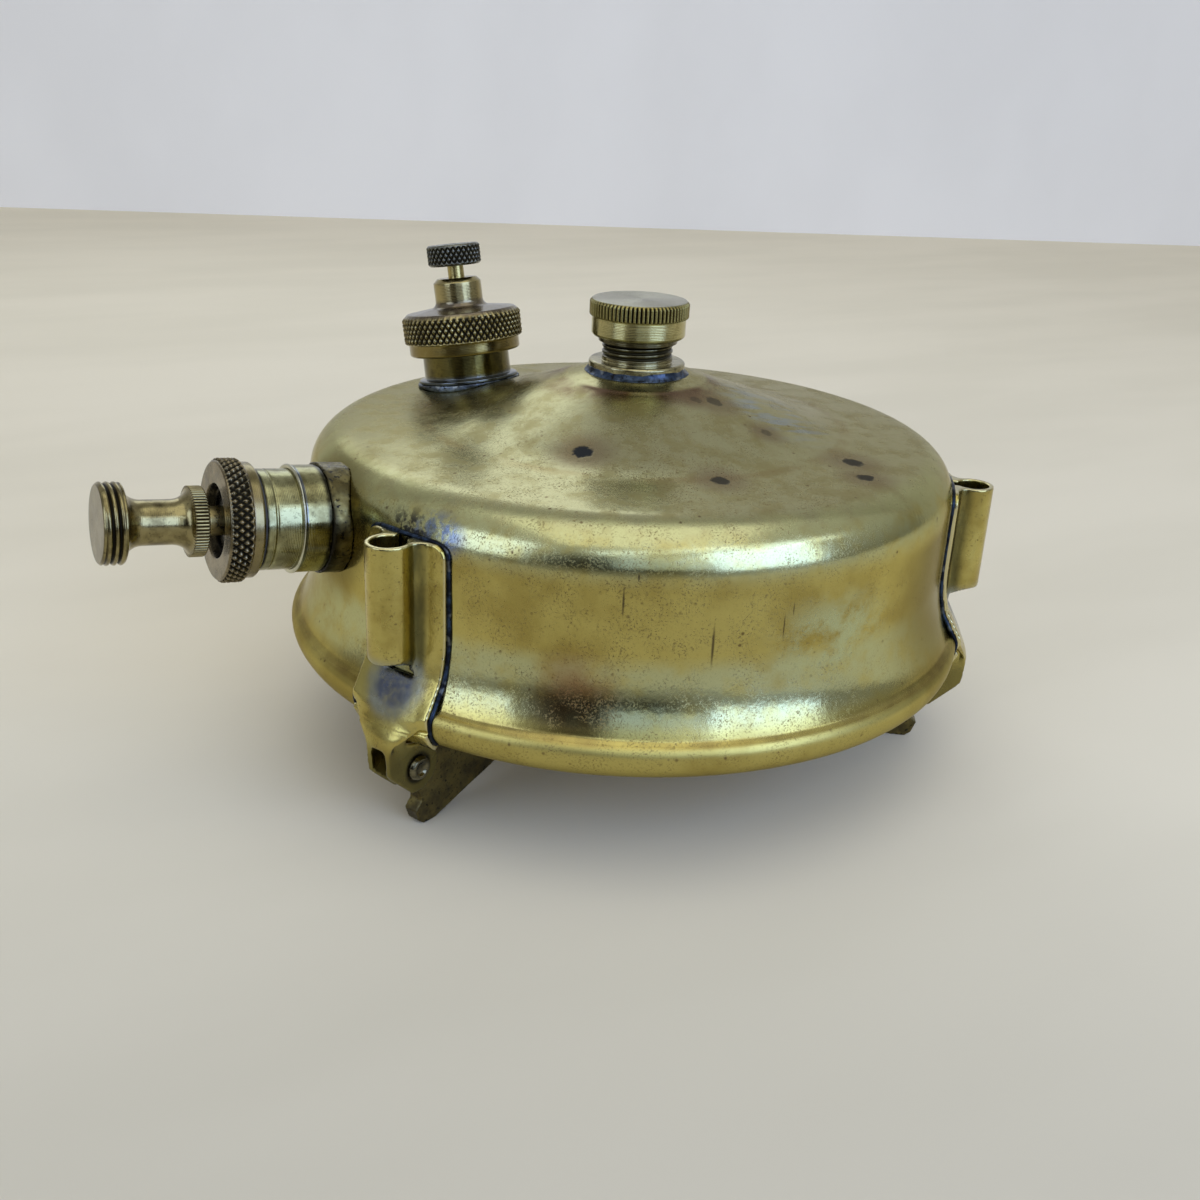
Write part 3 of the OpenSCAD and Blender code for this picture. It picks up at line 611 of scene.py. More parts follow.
LOOP_X, LOOP_R, LOOP_FOOT, LOOP_TOP, STRAP_FACE = 59.55, 3.5, -45.8, -25.0, 56.85
AXLE_X, AXLE_Z = 56.4, -62.7
pressed = remade("bracket_a", "bracket_a_pressed", 0.22, 4)
flat = about_axis(mesh_points(pressed.data), -BRACKETS["a"])
x, y, z = flat.T
side = np.abs(y)
half_width = np.interp(z, [-63, -58, -53, -49], [2.3, 3.2, 6.6, 7.8])
on_apron = ramp(z, -62, -59) * (1 - ramp(z, -47.6, -45.9)) * (x > 52)
on_apron = on_apron * (1 - ramp(side, half_width - 1.1, half_width - 0.5))
beside_loop = inside(side, 2.4, 3.0, 6.2, 7.0) * (np.hypot(x, y) > 56.5) * (np.hypot(x - LOOP_X, y) > 3.1)
beside_loop = beside_loop * (1 - ramp(x, 59.8, 60.6))
beside_loop = beside_loop * inside(z, LOOP_FOOT - 0.8, LOOP_FOOT + 0.2, LOOP_TOP - 1, LOOP_TOP - 0.4)
by_hand = np.round(np.maximum(on_apron, beside_loop) * 10)
hand = pressed.vertex_groups.new(name="hand_worked")
for level in range(1, 11):
    hand.add(np.flatnonzero(by_hand == level).tolist(), level / 10, "REPLACE")
worked = pressed.modifiers.new("hand_worked", "SMOOTH")
worked.factor, worked.iterations, worked.vertex_group = 0.5, 70, "hand_worked"
applied(pressed)
print("bracket:", len(pressed.data.polygons), "faces,", int((by_hand > 0).sum()), "points smoothed")

# %% [markdown]
# The sheet between the band and the ears was bent round a former, so it has one long curve
# and no fold. Its outer line is read off the mesh, a wide average is taken along it, and
# each point moves by the difference. The loop is made truly round, and its foot is drawn
# up at both sides, as a rolled edge is.

# %% The long curve of the apron and the round of the loop
flat = about_axis(mesh_points(pressed.data), -BRACKETS["a"])
x, y, z = flat.T.copy()
side, out = np.abs(y), np.hypot(x, y)
levels = np.arange(-61.5, -40, 0.25)
face = np.empty(len(levels))
for k, level in enumerate(levels):
    plain = (side > 5.4) & (side < 7.0) if level > -51 else side < 2.3
    face[k] = out[(np.abs(z - level) < 0.25) & plain].max()
kernel = np.exp(-np.arange(-24, 25) ** 2 / (2 * 8.0 ** 2))
curve = np.convolve(np.pad(face, 24, "edge"), kernel / kernel.sum(), "valid")
shift = np.interp(z, levels, curve - face) * ramp(z, -62.8, -60.5) * (1 - ramp(z, -48.5, -46.5))
shift = shift * (1 - ramp(side, 5.5, 7.4) * ramp(z, -56, -53))
shift = shift - 0.02 * y ** 2 * ramp(z, -62, -58) * (1 - ramp(z, -55, -51))
x = x + shift * (1 - ramp(np.interp(z, levels, face) - out, 1.0, 1.7))
above_foot = z - (LOOP_FOOT + 0.384 * (x - STRAP_FACE))
gap = np.maximum(np.hypot(x - LOOP_X, y), 0.1)
pull = ramp(x, 59.6, 60.4) * ramp(above_foot, 0.2, 0.6) * (np.abs(gap - LOOP_R) < 0.3)
pull = pull * (1 - ramp(z, LOOP_TOP - 0.7, LOOP_TOP - 0.4))
grow = 1 + pull * (LOOP_R / gap - 1)
x, y = LOOP_X + (x - LOOP_X) * grow, y * grow
on_foot = (1 - ramp(above_foot, 0, 4.5)) * (above_foot > -0.3) * (gap < 3.9) * ramp(x, 57.3, 58.2)
z = z + 1.3 * (side / LOOP_R) ** 2 * on_foot
flat = np.stack([x, y, z], -1)
pressed.data.vertices.foreach_set("co", (about_axis(flat, BRACKETS["a"]) * MM).ravel())
pressed.data.polygons.foreach_set("use_smooth", [True] * len(pressed.data.polygons))
pressed.data.update()

foot_gap = np.linalg.norm((flat - [60.0, 0, -47.6]) * [0.5, 0.75, 0.8], axis=1)
rivet_gap = np.hypot(x - AXLE_X, z - AXLE_Z)
measures = {
    "bloomed": 1 - ramp(foot_gap, 1.6, 5.6),
    # Rims: rubbed bright edges that also carry a painted highlight.
    "rim": np.maximum(ramp(side, 7.5, 7.8) * (z > -58), ramp(z, -25.3, -25.05)),
    # Corners beside the loop: painted shade and dark reflection.
    "corner": (1 - ramp(np.abs(side - 3.7), 0.2, 1.7)) * (1 - ramp(x, 58.2, 60.0))
    * ramp(z, -47.5, -44.5),
    # Ring round each rivet: painted shade.
    "ring": (1 - ramp(rivet_gap, 2.3, 3.0)) * (z < -58),
    # Lower part below the apron: painted shade.
    "under": ramp(-z, 55, 60.5)}
for key, values in measures.items():
    layer = pressed.data.attributes.new(key, "FLOAT", "POINT")
    layer.data.foreach_set("value", values.astype(np.float32))
print("apron moved by at most", float(np.abs(curve - face).max().round(2)), "mm")

# %% The other two, and the solder line under each strap
for letter in "bc":
    twin = bpy.data.objects.new(f"bracket_{letter}_pressed", pressed.data.copy())
    bpy.context.scene.collection.objects.link(twin)
    twin.data.vertices.foreach_set("co", (about_axis(flat, BRACKETS[letter]) * MM).ravel())
    twin.data.update()
    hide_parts(f"bracket_{letter}")
for letter in "abc":
    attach(bpy.data.objects[f"bracket_{letter}_pressed"], "tank")

strap_line = np.concatenate([
    arc(48.0, SHOULDER_Z - TURN_R, TURN_R, 11, 0, 6),
    arc(WALL_R + flare_r, FLARE_TOP_Z, flare_r, 180, 180 + flare_turn * 0.66, 12),
    arc(BAND_R - 2.2, BAND_Z, 2.2, 32, 0, 4), arc(BAND_R - 4.6, BAND_Z, 4.6, -9, -52, 8)])
strap_line = refined(strap_line, 0.35, closed=False)


def edge_path(half, corner):
    """The strap's outline on the tank: down one side, rounded corners and across the top."""
    r, z = strap_line[:, 0] + 0.12, strap_line[:, 1]
    near = np.clip(z - (z[0] - corner), 0, corner)
    y = half - corner + np.sqrt(np.maximum(corner ** 2 - near ** 2, 0))
    side = np.stack([np.sqrt(r ** 2 - y ** 2), y, z], -1)
    across = np.linspace(side[0, 1], -side[0, 1], 40)[1:-1]
    top = np.stack([np.sqrt(r[0] ** 2 - across ** 2), across, np.full(38, z[0] + 0.05)], -1)
    return np.concatenate([side[::-1], top, side * [1, -1, 1]])


def bead(path, radius, seed, sides=12):
    """A tube of wandering radius: each point of the path carries a circle square to it."""
    n = len(path)
    step = np.gradient(path, axis=0)
    step /= np.linalg.norm(step, axis=1)[:, None]
    out = path * [1, 1, 0] / np.linalg.norm(path * [1, 1, 0], axis=1)[:, None]
    side = np.cross(step, out)
    side /= np.linalg.norm(side, axis=1)[:, None]
    out = np.cross(side, step)
    u = np.linspace(0, 2 * np.pi, sides, endpoint=False)
    wobble = radius * (1 + wander(np.linspace(0, 2 * np.pi, n), seed, 0.13))
    wobble[:3] *= [0.05, 0.6, 0.9]
    wobble[-3:] *= [0.9, 0.6, 0.05]
    ring = side[:, None] * np.cos(u)[None, :, None] + out[:, None] * np.sin(u)[None, :, None]
    points = path[:, None] + ring * wobble[:, None, None]
    ends = [list(range(sides))[::-1], list(range((n - 1) * sides, n * sides))]
    return points.reshape(-1, 3), list(grid_faces(n, sides, False, True)) + ends


for k, letter in enumerate("abc"):
    points, faces = bead(edge_path(7.9, 2.2), 0.36, 11 + k)
    line = mesh_object(f"bracket_{letter}_solder", about_axis(points, BRACKETS[letter]), faces)
    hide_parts(f"bracket_solder_{letter}")
    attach(line, "tank")
print("strap solder:", len(line.data.polygons), "faces each")

# %% [markdown]
# ## Feet and rivets
# The feet are folded from olive sheet and swing between the ears on hollow rivets.

# %% Feet, rivets
for letter in "abc":
    foot = remade(f"foot_{letter}", f"foot_{letter}_folded", 0.2, 4, 0.04, 3.0, 21)
    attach(foot, f"foot_{letter}")
    direction = turned_point(BRACKETS[letter], 1, 0)
    axle = axis_frame(direction * AXLE_X + [0, 0, AXLE_Z], np.cross([0, 0, 1.0], direction), (0, 0, 1.0))
    head = softened([(1.25, 2.3), (2.1, 2.3), (2.1, 2.55), (1.75, 3.1), (1.3, 3.2), (0.85, 2.85), (0, 2.7)],
                    0.2, closed=False)
    rivet_line = np.concatenate([head[::-1], (head * [1, -1])])
    rivet = turned(f"rivet_{letter}_hollow", rivet_line, axle, 64)
    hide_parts(f"rivet_{letter}")
    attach(rivet, "tank")
print("foot:", len(foot.data.polygons), "rivet:", len(rivet.data.polygons))

# %% [markdown]
# ## The valve spring
# The spring that shuts the valve is inside the pump. Its wire follows a helix.

# %% Valve spring
COIL_R, COIL_TURNS, COIL_Z, COIL_LONG, WIRE_R, SIDES = 1.3, 5.5, 7.3, 5.1, 0.2, 10
t = np.linspace(0, 1, 260)
coil = 2 * np.pi * COIL_TURNS * t
spring_path = np.stack([COIL_R * np.cos(coil), COIL_R * np.sin(coil), COIL_Z + COIL_LONG * t], -1)
origin, axes = PUMP
step = np.gradient(spring_path, axis=0)
step /= np.linalg.norm(step, axis=1)[:, None]
away = spring_path * [1, 1, 0] / COIL_R
side = np.cross(step, away)
u = np.linspace(0, 2 * np.pi, SIDES, endpoint=False)[None, :, None]
wire = spring_path[:, None] + WIRE_R * (side[:, None] * np.cos(u) + away[:, None] * np.sin(u))
ends = [list(range(SIDES))[::-1], list(range((len(t) - 1) * SIDES, len(t) * SIDES))]
faces = list(grid_faces(len(t), SIDES, False, True)) + ends
spring = mesh_object("valve_spring_wire", (origin + wire.reshape(-1, 3) @ axes), faces)
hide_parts("valve_spring")
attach(spring, "tank")
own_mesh(spring)
print("spring:", len(spring.data.polygons))

# %% [markdown]
# ## Finishes
# Old polished brass is a metal with two stories on it: what the hand rubs stays bright, and
# what it can't reach goes olive, brown and, where it was hot, blue. Every finish below is
# a metal shader whose colour, roughness and bump come from noise on Object coordinates,
# from distances to real places on the piece, and from the depth measure of the knurls.

# %% A small kit for node trees
def feed(tree, socket, value):
    """Links another node's output to a socket, or sets a constant; a colour's alpha is 1."""
    if isinstance(value, bpy.types.NodeSocket):
        tree.links.new(value, socket)
    elif socket.type == "RGBA":
        socket.default_value = (*value[:3], 1)
    else:
        socket.default_value = value


def add_node(tree, kind, inputs=(), **settings):
    """A new node with its settings made and its inputs linked or set."""
    node = tree.nodes.new(kind)
    for key, value in settings.items():
        setattr(node, key, value)
    for key, value in dict(inputs).items():
        feed(tree, node.inputs[key], value)
    return node


class Finish:
    """A material under construction: one short method for each kind of node used here."""

    def __init__(self, name):
        self.material = bpy.data.materials.new(name)
        self.material.use_nodes = True
        self.tree = self.material.node_tree
        self.tree.nodes.clear()
        self.place = self.add("ShaderNodeTexCoord").outputs["Object"]
        self.x, self.y, self.z = self.add("ShaderNodeSeparateXYZ", {0: self.place}).outputs

    def add(self, kind, inputs=(), **settings):
        """A node in this material."""
        return add_node(self.tree, kind, inputs, **settings)

    def math(self, kind, a, b=0.0):
        """Two numbers added, subtracted, multiplied or compared."""
        return self.add("ShaderNodeMath", {0: a, 1: b}, operation=kind).outputs[0]

    def ramp(self, value, low, high, to_low=0.0, to_high=1.0):
        """Smoothly from to_low at `low` to to_high at `high`, and level outside."""
        return self.add("ShaderNodeMapRange", {0: value, 1: low, 2: high, 3: to_low, 4: to_high},
                        interpolation_type="SMOOTHSTEP").outputs[0]

    def band(self, value, start, full, stop, end):
        """0 below `start`, 1 between `full` and `stop`, 0 above `end`."""
        return self.both(self.ramp(value, start, full), self.ramp(value, stop, end, 1.0, 0.0))

    def noise(self, size_mm, detail=3.0, rough=0.55, *, offset=(0, 0, 0), stretch=(1, 1, 1), twist=0.0):
        """Fractal noise whose blobs are about `size_mm` across."""
        moved = self.add("ShaderNodeMapping", {0: self.place, 1: offset, 3: stretch})
        return self.add("ShaderNodeTexNoise", {"Vector": moved.outputs[0], "Scale": 1000.0 / size_mm,
                        "Detail": detail, "Roughness": rough, "Distortion": twist}).outputs[0]

    def patches(self, blobs, low, high, to_low=0.0, to_high=1.0, **shape):
        """Noise with the given size, detail and roughness, sharpened by a ramp into patches."""
        return self.ramp(self.noise(*blobs, **shape), low, high, to_low, to_high)

    def spots(self, size_mm, low, high, offset=(0, 0, 0)):
        """Round specks: 1 in the middle of a random cell, 0 beyond a share of its size."""
        moved = self.add("ShaderNodeMapping", {0: self.place, 1: offset})
        cell = self.add("ShaderNodeTexVoronoi", {"Vector": moved.outputs[0], "Scale": 1000.0 / size_mm})
        return self.ramp(cell.outputs["Distance"], low, high, 1.0, 0.0)

    def mix(self, amount, a, b):
        """Colour a where the amount is 0, colour b where it is 1."""
        return self.add("ShaderNodeMix", {0: amount, 6: a, 7: b}, data_type="RGBA").outputs[2]

    def stain(self, base, tone, *masks):
        """A tone mixed into a base by the product of its masks."""
        amount = masks[0]
        for mask in masks[1:]:
            amount = self.both(amount, mask)
        return self.mix(amount, base, tone)

    def near(self, point_mm, inner_mm, outer_mm, squeeze=(1, 1, 1)):
        """1 within inner_mm of a point, 0 beyond outer_mm; squeeze scales the three directions."""
        point = [c * MM for c in point_mm]
        gap = self.add("ShaderNodeVectorMath", {0: self.place, 1: point}, operation="SUBTRACT")
        shape = self.add("ShaderNodeVectorMath", {0: gap.outputs[0], 1: squeeze}, operation="MULTIPLY")
        return self.ramp(self.length(shape.outputs[0]), inner_mm * MM, outer_mm * MM, 1.0, 0.0)

    def length(self, vector):
        """The length of a vector."""
        return self.add("ShaderNodeVectorMath", {0: vector}, operation="LENGTH").outputs["Value"]

    def measure(self, name):
        """A measure stored on the mesh's points."""
        return self.add("ShaderNodeAttribute", attribute_name=name).outputs["Fac"]

    def both(self, a, b):
        """The product, which is 1 only where both masks are."""
        return self.math("MULTIPLY", a, b)

    def most(self, a, b):
        """The larger of two masks."""
        return self.math("MAXIMUM", a, b)

    def distance_from_axis(self):
        """How far a point lies from the tank's axis, in metres."""
        return self.length(self.add("ShaderNodeCombineXYZ", {0: self.x, 1: self.y, 2: 0.0}).outputs[0])

    def bumps(self, height, size_mm, strength=1.0):
        """A normal tilted by the slope of a height."""
        inputs = {"Height": height, "Distance": size_mm * MM, "Strength": strength}
        return self.add("ShaderNodeBump", inputs).outputs[0]

    def done(self, colour, roughness, metallic=1.0, normal=None, **sockets):
        """Joins everything to a Principled shader; more sockets are set by their names."""
        inputs = {"Base Color": colour, "Roughness": roughness, "Metallic": metallic}
        if normal is not None:
            inputs["Normal"] = normal
        for key, value in sockets.items():
            inputs[key.replace("_", " ")] = value
        shader = self.add("ShaderNodeBsdfPrincipled", inputs)
        self.add("ShaderNodeOutputMaterial", {0: shader.outputs[0]})
        return self.material


def dress(material, *names):
    """Gives objects, or CAD nodes by name, one material."""
    for name in names:
        obj = frame["nodes"].get(name) or bpy.data.objects[name]
        obj.data.materials.clear()
        obj.data.materials.append(material)


# %% [markdown]
# ### The tank's brass
# The wall is yellow and finely peppered. The cone and the level ring are hazier and
# greyer, from the burner's heat and from years of wiping, and the shoulder and the flare
# are rubbed pale, a pale tint that also paints their highlight. A brown haze lies round the
# pad, a painted blue sky reflection lies in wipe streaks down the cone's right side, a dark
# line in the crease above the band, and soot above each bracket. Painted reflections lie on
# the wall too: a darker one on its far right, a pale green one right of the middle and a
# red-brown one in the middle of the flare. Stains, pits and scratches have places of their
# own, given as a direction, a distance from the axis and a height.

# %% Tank finish: broad colour
WALL_BRASS, OLD_BRASS, HAZE = (0.51, 0.43, 0.13), (0.38, 0.30, 0.08), (0.43, 0.41, 0.235)
# The near-black tone is dirt, and also painted shade in the knurls' valleys, in the pump cap's recess and
# round each rivet.
RUBBED_AND_SHEEN, BROWN, DIRT_AND_SHADE = (0.50, 0.50, 0.255), (0.12, 0.075, 0.035), (0.014, 0.012, 0.008)

tank = Finish("tank_brass")
radius = tank.distance_from_axis()
on_top = tank.ramp(tank.z, -0.0225, -0.0195)
cloud = tank.noise(16, 4, 0.6)
patches = tank.noise(5, 5, 0.65, offset=(0.3, 0.1, 0))
wall_colour = tank.mix(tank.ramp(cloud, 0.42, 0.66), WALL_BRASS, OLD_BRASS)
top_colour = tank.mix(tank.ramp(patches, 0.40, 0.68), HAZE, (0.35, 0.31, 0.15))
broad = tank.mix(on_top, wall_colour, top_colour)
on_turn = tank.both(tank.ramp(radius, 0.0490, 0.0525), tank.ramp(tank.z, -0.0285, -0.0240))
on_flare = tank.band(tank.z, -0.0500, -0.0470, -0.0410, -0.0375)
uneven = tank.patches((4, 4, 0.6), 0.30, 0.60, 0.35, 1.0, offset=(0.2, 0.6, 0))
# Shoulder and flare: rubbed pale, and the pale tint also paints their highlight.
broad = tank.stain(broad, RUBBED_AND_SHEEN, tank.most(on_turn, on_flare), uneven)
pad_ring = tank.band(radius, 0.0118, 0.0128, 0.0128, 0.0185)
broad = tank.stain(broad, (0.17, 0.11, 0.075), pad_ring, tank.patches((9, 3), 0.35, 0.6), on_top)
wiped = tank.patches((7, 4, 0.6), 0.42, 0.62, stretch=(1, 4, 1), offset=(0.4, 0, 0.2))
# A painted blue sky reflection, laid in the streaks of wipe marks down the cone's right side.
sky_reflection_wipe = tank.near(turned_point(318, 24, -14.5), 1.5, 13, (1.0, 0.8, 1.0))
broad = tank.stain(broad, (0.33, 0.42, 0.56), sky_reflection_wipe, wiped, 0.75)
by_pump = tank.near(turned_point(180, 56, -28.5), 7.5, 15)
broad = tank.stain(broad, (0.15, 0.125, 0.045), by_pump, 0.8)
print("tank finish begun")

# %% Tank finish: pepper, stains, painted reflections and the crease
front = tank.near(turned_point(236, 58, -36), 22, 62)
pepper = tank.patches((0.33, 3, 0.75), 0.50, 0.66)
blotch = tank.patches((5.5, 4, 0.7), 0.40, 0.62, 0.15, 1.0, offset=(0.7, 0.2, 0.4))
peppered = tank.both(tank.both(pepper, blotch), tank.ramp(front, 0, 1, 0.25, 0.8))
broad = tank.stain(broad, (0.19, 0.135, 0.05), peppered)
specks = tank.both(tank.spots(2.4, 0.06, 0.16), tank.patches((7, 2, 0.5), 0.5, 0.62, offset=(0.1, 0.5, 0)))
broad = tank.stain(broad, BROWN, specks, 0.8)
# A painted darker reflection on the far right of the wall.
far_side_shade = tank.near(turned_point(304, 57, -36), 7, 24)
broad = tank.stain(broad, (0.22, 0.18, 0.06), far_side_shade, 0.85, tank.ramp(tank.z, -0.026, -0.029))
# A painted highlight: a pale green patch right of the middle of the wall.
pale_green_highlight = tank.near(turned_point(272, 57, -37), 3, 15, (1, 1, 1.6))
broad = tank.stain(broad, (0.50, 0.55, 0.32), pale_green_highlight, 0.8, tank.ramp(patches, 0.35, 0.6))
for heading in BRACKETS.values():
    burnt = tank.near(turned_point(heading + 5, 54.9, -24.2), 2.6, 6.6, (1, 1, 1.6))
    torn = tank.patches((2.4, 4, 0.65), 0.36, 0.56, twist=0.6)
    broad = tank.stain(broad, (0.13, 0.19, 0.35), burnt, torn, 0.8)
    soot = tank.near(turned_point(heading, 55.2, -24.6), 2.0, 6.5, (1, 1, 1.5))
    broad = tank.stain(broad, (0.03, 0.03, 0.035), soot, tank.patches((1.3, 4, 0.7), 0.44, 0.56), 0.9)
ring_line = tank.band(radius, 0.0352, 0.0362, 0.0366, 0.0385)
broken = tank.patches((8, 3, 0.6), 0.35, 0.6, 0.0, 0.4, offset=(0.5, 0, 0.1))
broad = tank.stain(broad, (0.28, 0.20, 0.085), ring_line, on_top, broken)
# A painted reflection: a red-brown patch in the middle of the flare.
dark_red_reflection = tank.near(turned_point(231, 58.5, -44), 1.5, 9.5, (1, 1, 1.1))
broad = tank.stain(broad, (0.27, 0.115, 0.045), dark_red_reflection, tank.ramp(patches, 0.3, 0.6, 0.4, 1.0), 0.75)
crease = tank.band(tank.z, -0.0512, -0.0506, -0.0502, -0.0493)
broad = tank.stain(broad, BROWN, crease, tank.patches((6, 3), 0.3, 0.7, 0.05, 0.5))
under = tank.ramp(tank.z, -0.0560, -0.0535, 1.0, 0.0)
broad = tank.stain(broad, OLD_BRASS, under, 0.55)

# %% Tank finish: pits and scratches at their places
# Direction, distance from the axis, height, size and darkness of each pit.
pits = [(223.0, 30, -16.2, 1.7, 1.0), (258.6, 37.3, -18.0, 1.5, 0.85), (278.9, 15.3, -11.2, 1.0, 0.4),
        (290.0, 16.8, -11.7, 1.5, 0.6), (291.6, 26.8, -15.1, 1.1, 0.45), (298.2, 40.8, -18.2, 1.8, 0.9),
        (291.3, 45.4, -18.5, 1.5, 0.9)]
# Direction, upper end, lower end and width of each scratch on the wall.
scratches = [(237.4, -26.6, -32.6, 0.22), (250.9, -32.0, -40.6, 0.3), (239.4, -24.8, -26.6, 0.2),
             (262.0, -31.5, -37.0, 0.16), (263.4, -30.2, -33.0, 0.14)]
pit_mask, stain_mask = 0.0, 0.0
ragged = tank.math("MULTIPLY", tank.math("SUBTRACT", tank.noise(1.1, 3, 0.6), 0.5), 0.9)
for heading, away, level, size, dark in pits:
    spot = tank.near(turned_point(heading, away, level), 0.1 * size, 1.9 * size)
    core = tank.both(tank.ramp(tank.math("ADD", spot, ragged), 0.42, 0.72), dark)
    pit_mask = tank.most(core, pit_mask)
    halo = tank.near(turned_point(heading, away, level), size, 4.4 * size)
    stain_mask = tank.most(halo, stain_mask)
broad = tank.stain(broad, (0.19, 0.125, 0.08), stain_mask, 0.6)
broad = tank.stain(broad, (0.025, 0.028, 0.035), pit_mask)
scratch_mask = 0.0
for heading, top, low, width in scratches:
    mid, half = (top + low) / 2, (top - low) / 2
    line = tank.near(turned_point(heading, WALL_R, mid), width * 0.25, width, (1, 1, width / half))
    scratch_mask = tank.most(line, scratch_mask)
broad = tank.stain(broad, (0.07, 0.05, 0.03), scratch_mask, 0.85)
print(len(pits), "pits and", len(scratches), "scratches placed")

# %% Tank finish: roughness and relief
sheen = tank.mix(on_top, tank.ramp(cloud, 0.35, 0.7, 0.16, 0.25),
                 tank.ramp(patches, 0.35, 0.7, 0.20, 0.32))
worn = tank.both(tank.ramp(radius, 0.0515, 0.0538), tank.ramp(tank.z, -0.0275, -0.0250))
rough = tank.stain(sheen, (0.16, 0.16, 0.16), worn, 0.7)
rough = tank.stain(rough, (0.13, 0.13, 0.13), on_flare, 0.8)
on_band = tank.ramp(tank.z, -0.0515, -0.0500, 1.0, 0.0)
rough = tank.stain(rough, (0.38, 0.38, 0.38), on_band)
rough = tank.stain(rough, (0.55, 0.55, 0.55), tank.most(peppered, pit_mask))
peel = tank.math("ADD", tank.both(tank.noise(0.9, 2, 0.5), 0.6), tank.both(tank.noise(3.5, 2, 0.5), 0.8))
relief = tank.math("SUBTRACT", peel, tank.math("ADD", tank.both(pit_mask, 1.6), tank.both(peppered, 0.35)))
relief = tank.math("SUBTRACT", relief, scratch_mask)
tank_brass = tank.done(broad, rough, 1.0, tank.bumps(relief, 0.045, 0.55), Specular_Tint=(0.74, 0.70, 0.58))
dress(tank_brass, "tank_shell", "tank_dish")
print("tank brass: finished")

# %% [markdown]
# ### Turned brass
# Turned pieces share one recipe. Their grooves are dark with dirt and with painted shade,
# and their crests are rubbed bright, which the depth measure says. Fine rings along the axis
# are the tool's marks. Each piece has its own tones, and zones where it is darker or more
# rubbed than elsewhere; three of these zones are painted shade and one is a painted highlight.

# %% Turned brass in its tones
def turned_brass(name, bright, dull, rough, grime, rings=0.35, zones=()):
    """Bright crests, dull flanks, dark valleys; patches of tarnish on what is plain. Each zone
    is a measure, the two levels between which it fades in, its strength and its colour."""
    f = Finish(name)
    depth = f.measure("depth")
    tarnish = f.patches((3.0, 4, 0.62), 0.40, 0.68)
    plain = f.mix(f.both(tarnish, grime), bright, dull)
    flank = f.mix(f.ramp(depth, 0.40, 0.95), dull, plain)
    # Valleys: dirt, and painted shade where the grooves are deepest.
    colour = f.mix(f.ramp(depth, 0.15, 0.70), DIRT_AND_SHADE, flank)
    fine = f.patches((0.5, 2, 0.6), 0.56, 0.70)
    colour = f.stain(colour, DIRT_AND_SHADE, fine, 0.55 * grime)
    for key, start, full, strength, tone in zones:
        rising = start < full
        span = (start, full, 0.0, strength) if rising else (full, start, strength, 0.0)
        zone = f.ramp(f.measure(key), *span)
        colour = f.stain(colour, tone, zone, f.patches((1.6, 3, 0.6), 0.25, 0.55, 0.6, 1.0))
    along = f.add("ShaderNodeCombineXYZ", {0: f.measure("height"), 1: f.measure("radius"), 2: 0.0})
    wave = f.add("ShaderNodeTexWave", {"Vector": along.outputs[0], "Scale": 2.4, "Distortion": 2.0,
                 "Detail": 3.0, "Detail Scale": 3.0}, wave_type="BANDS", bands_direction="DIAGONAL")
    soft = f.patches((2.2, 3), 0.3, 0.7, rough * 0.7, rough * 1.3)
    roughness = f.mix(f.ramp(depth, 0.1, 0.7), (0.62, 0.62, 0.62), soft)
    height = f.math("ADD", f.both(wave.outputs["Fac"], rings), f.both(f.noise(0.8, 3, 0.6), 0.6))
    return f.done(colour, roughness, 1.0, f.bumps(height, 0.03, 0.5))


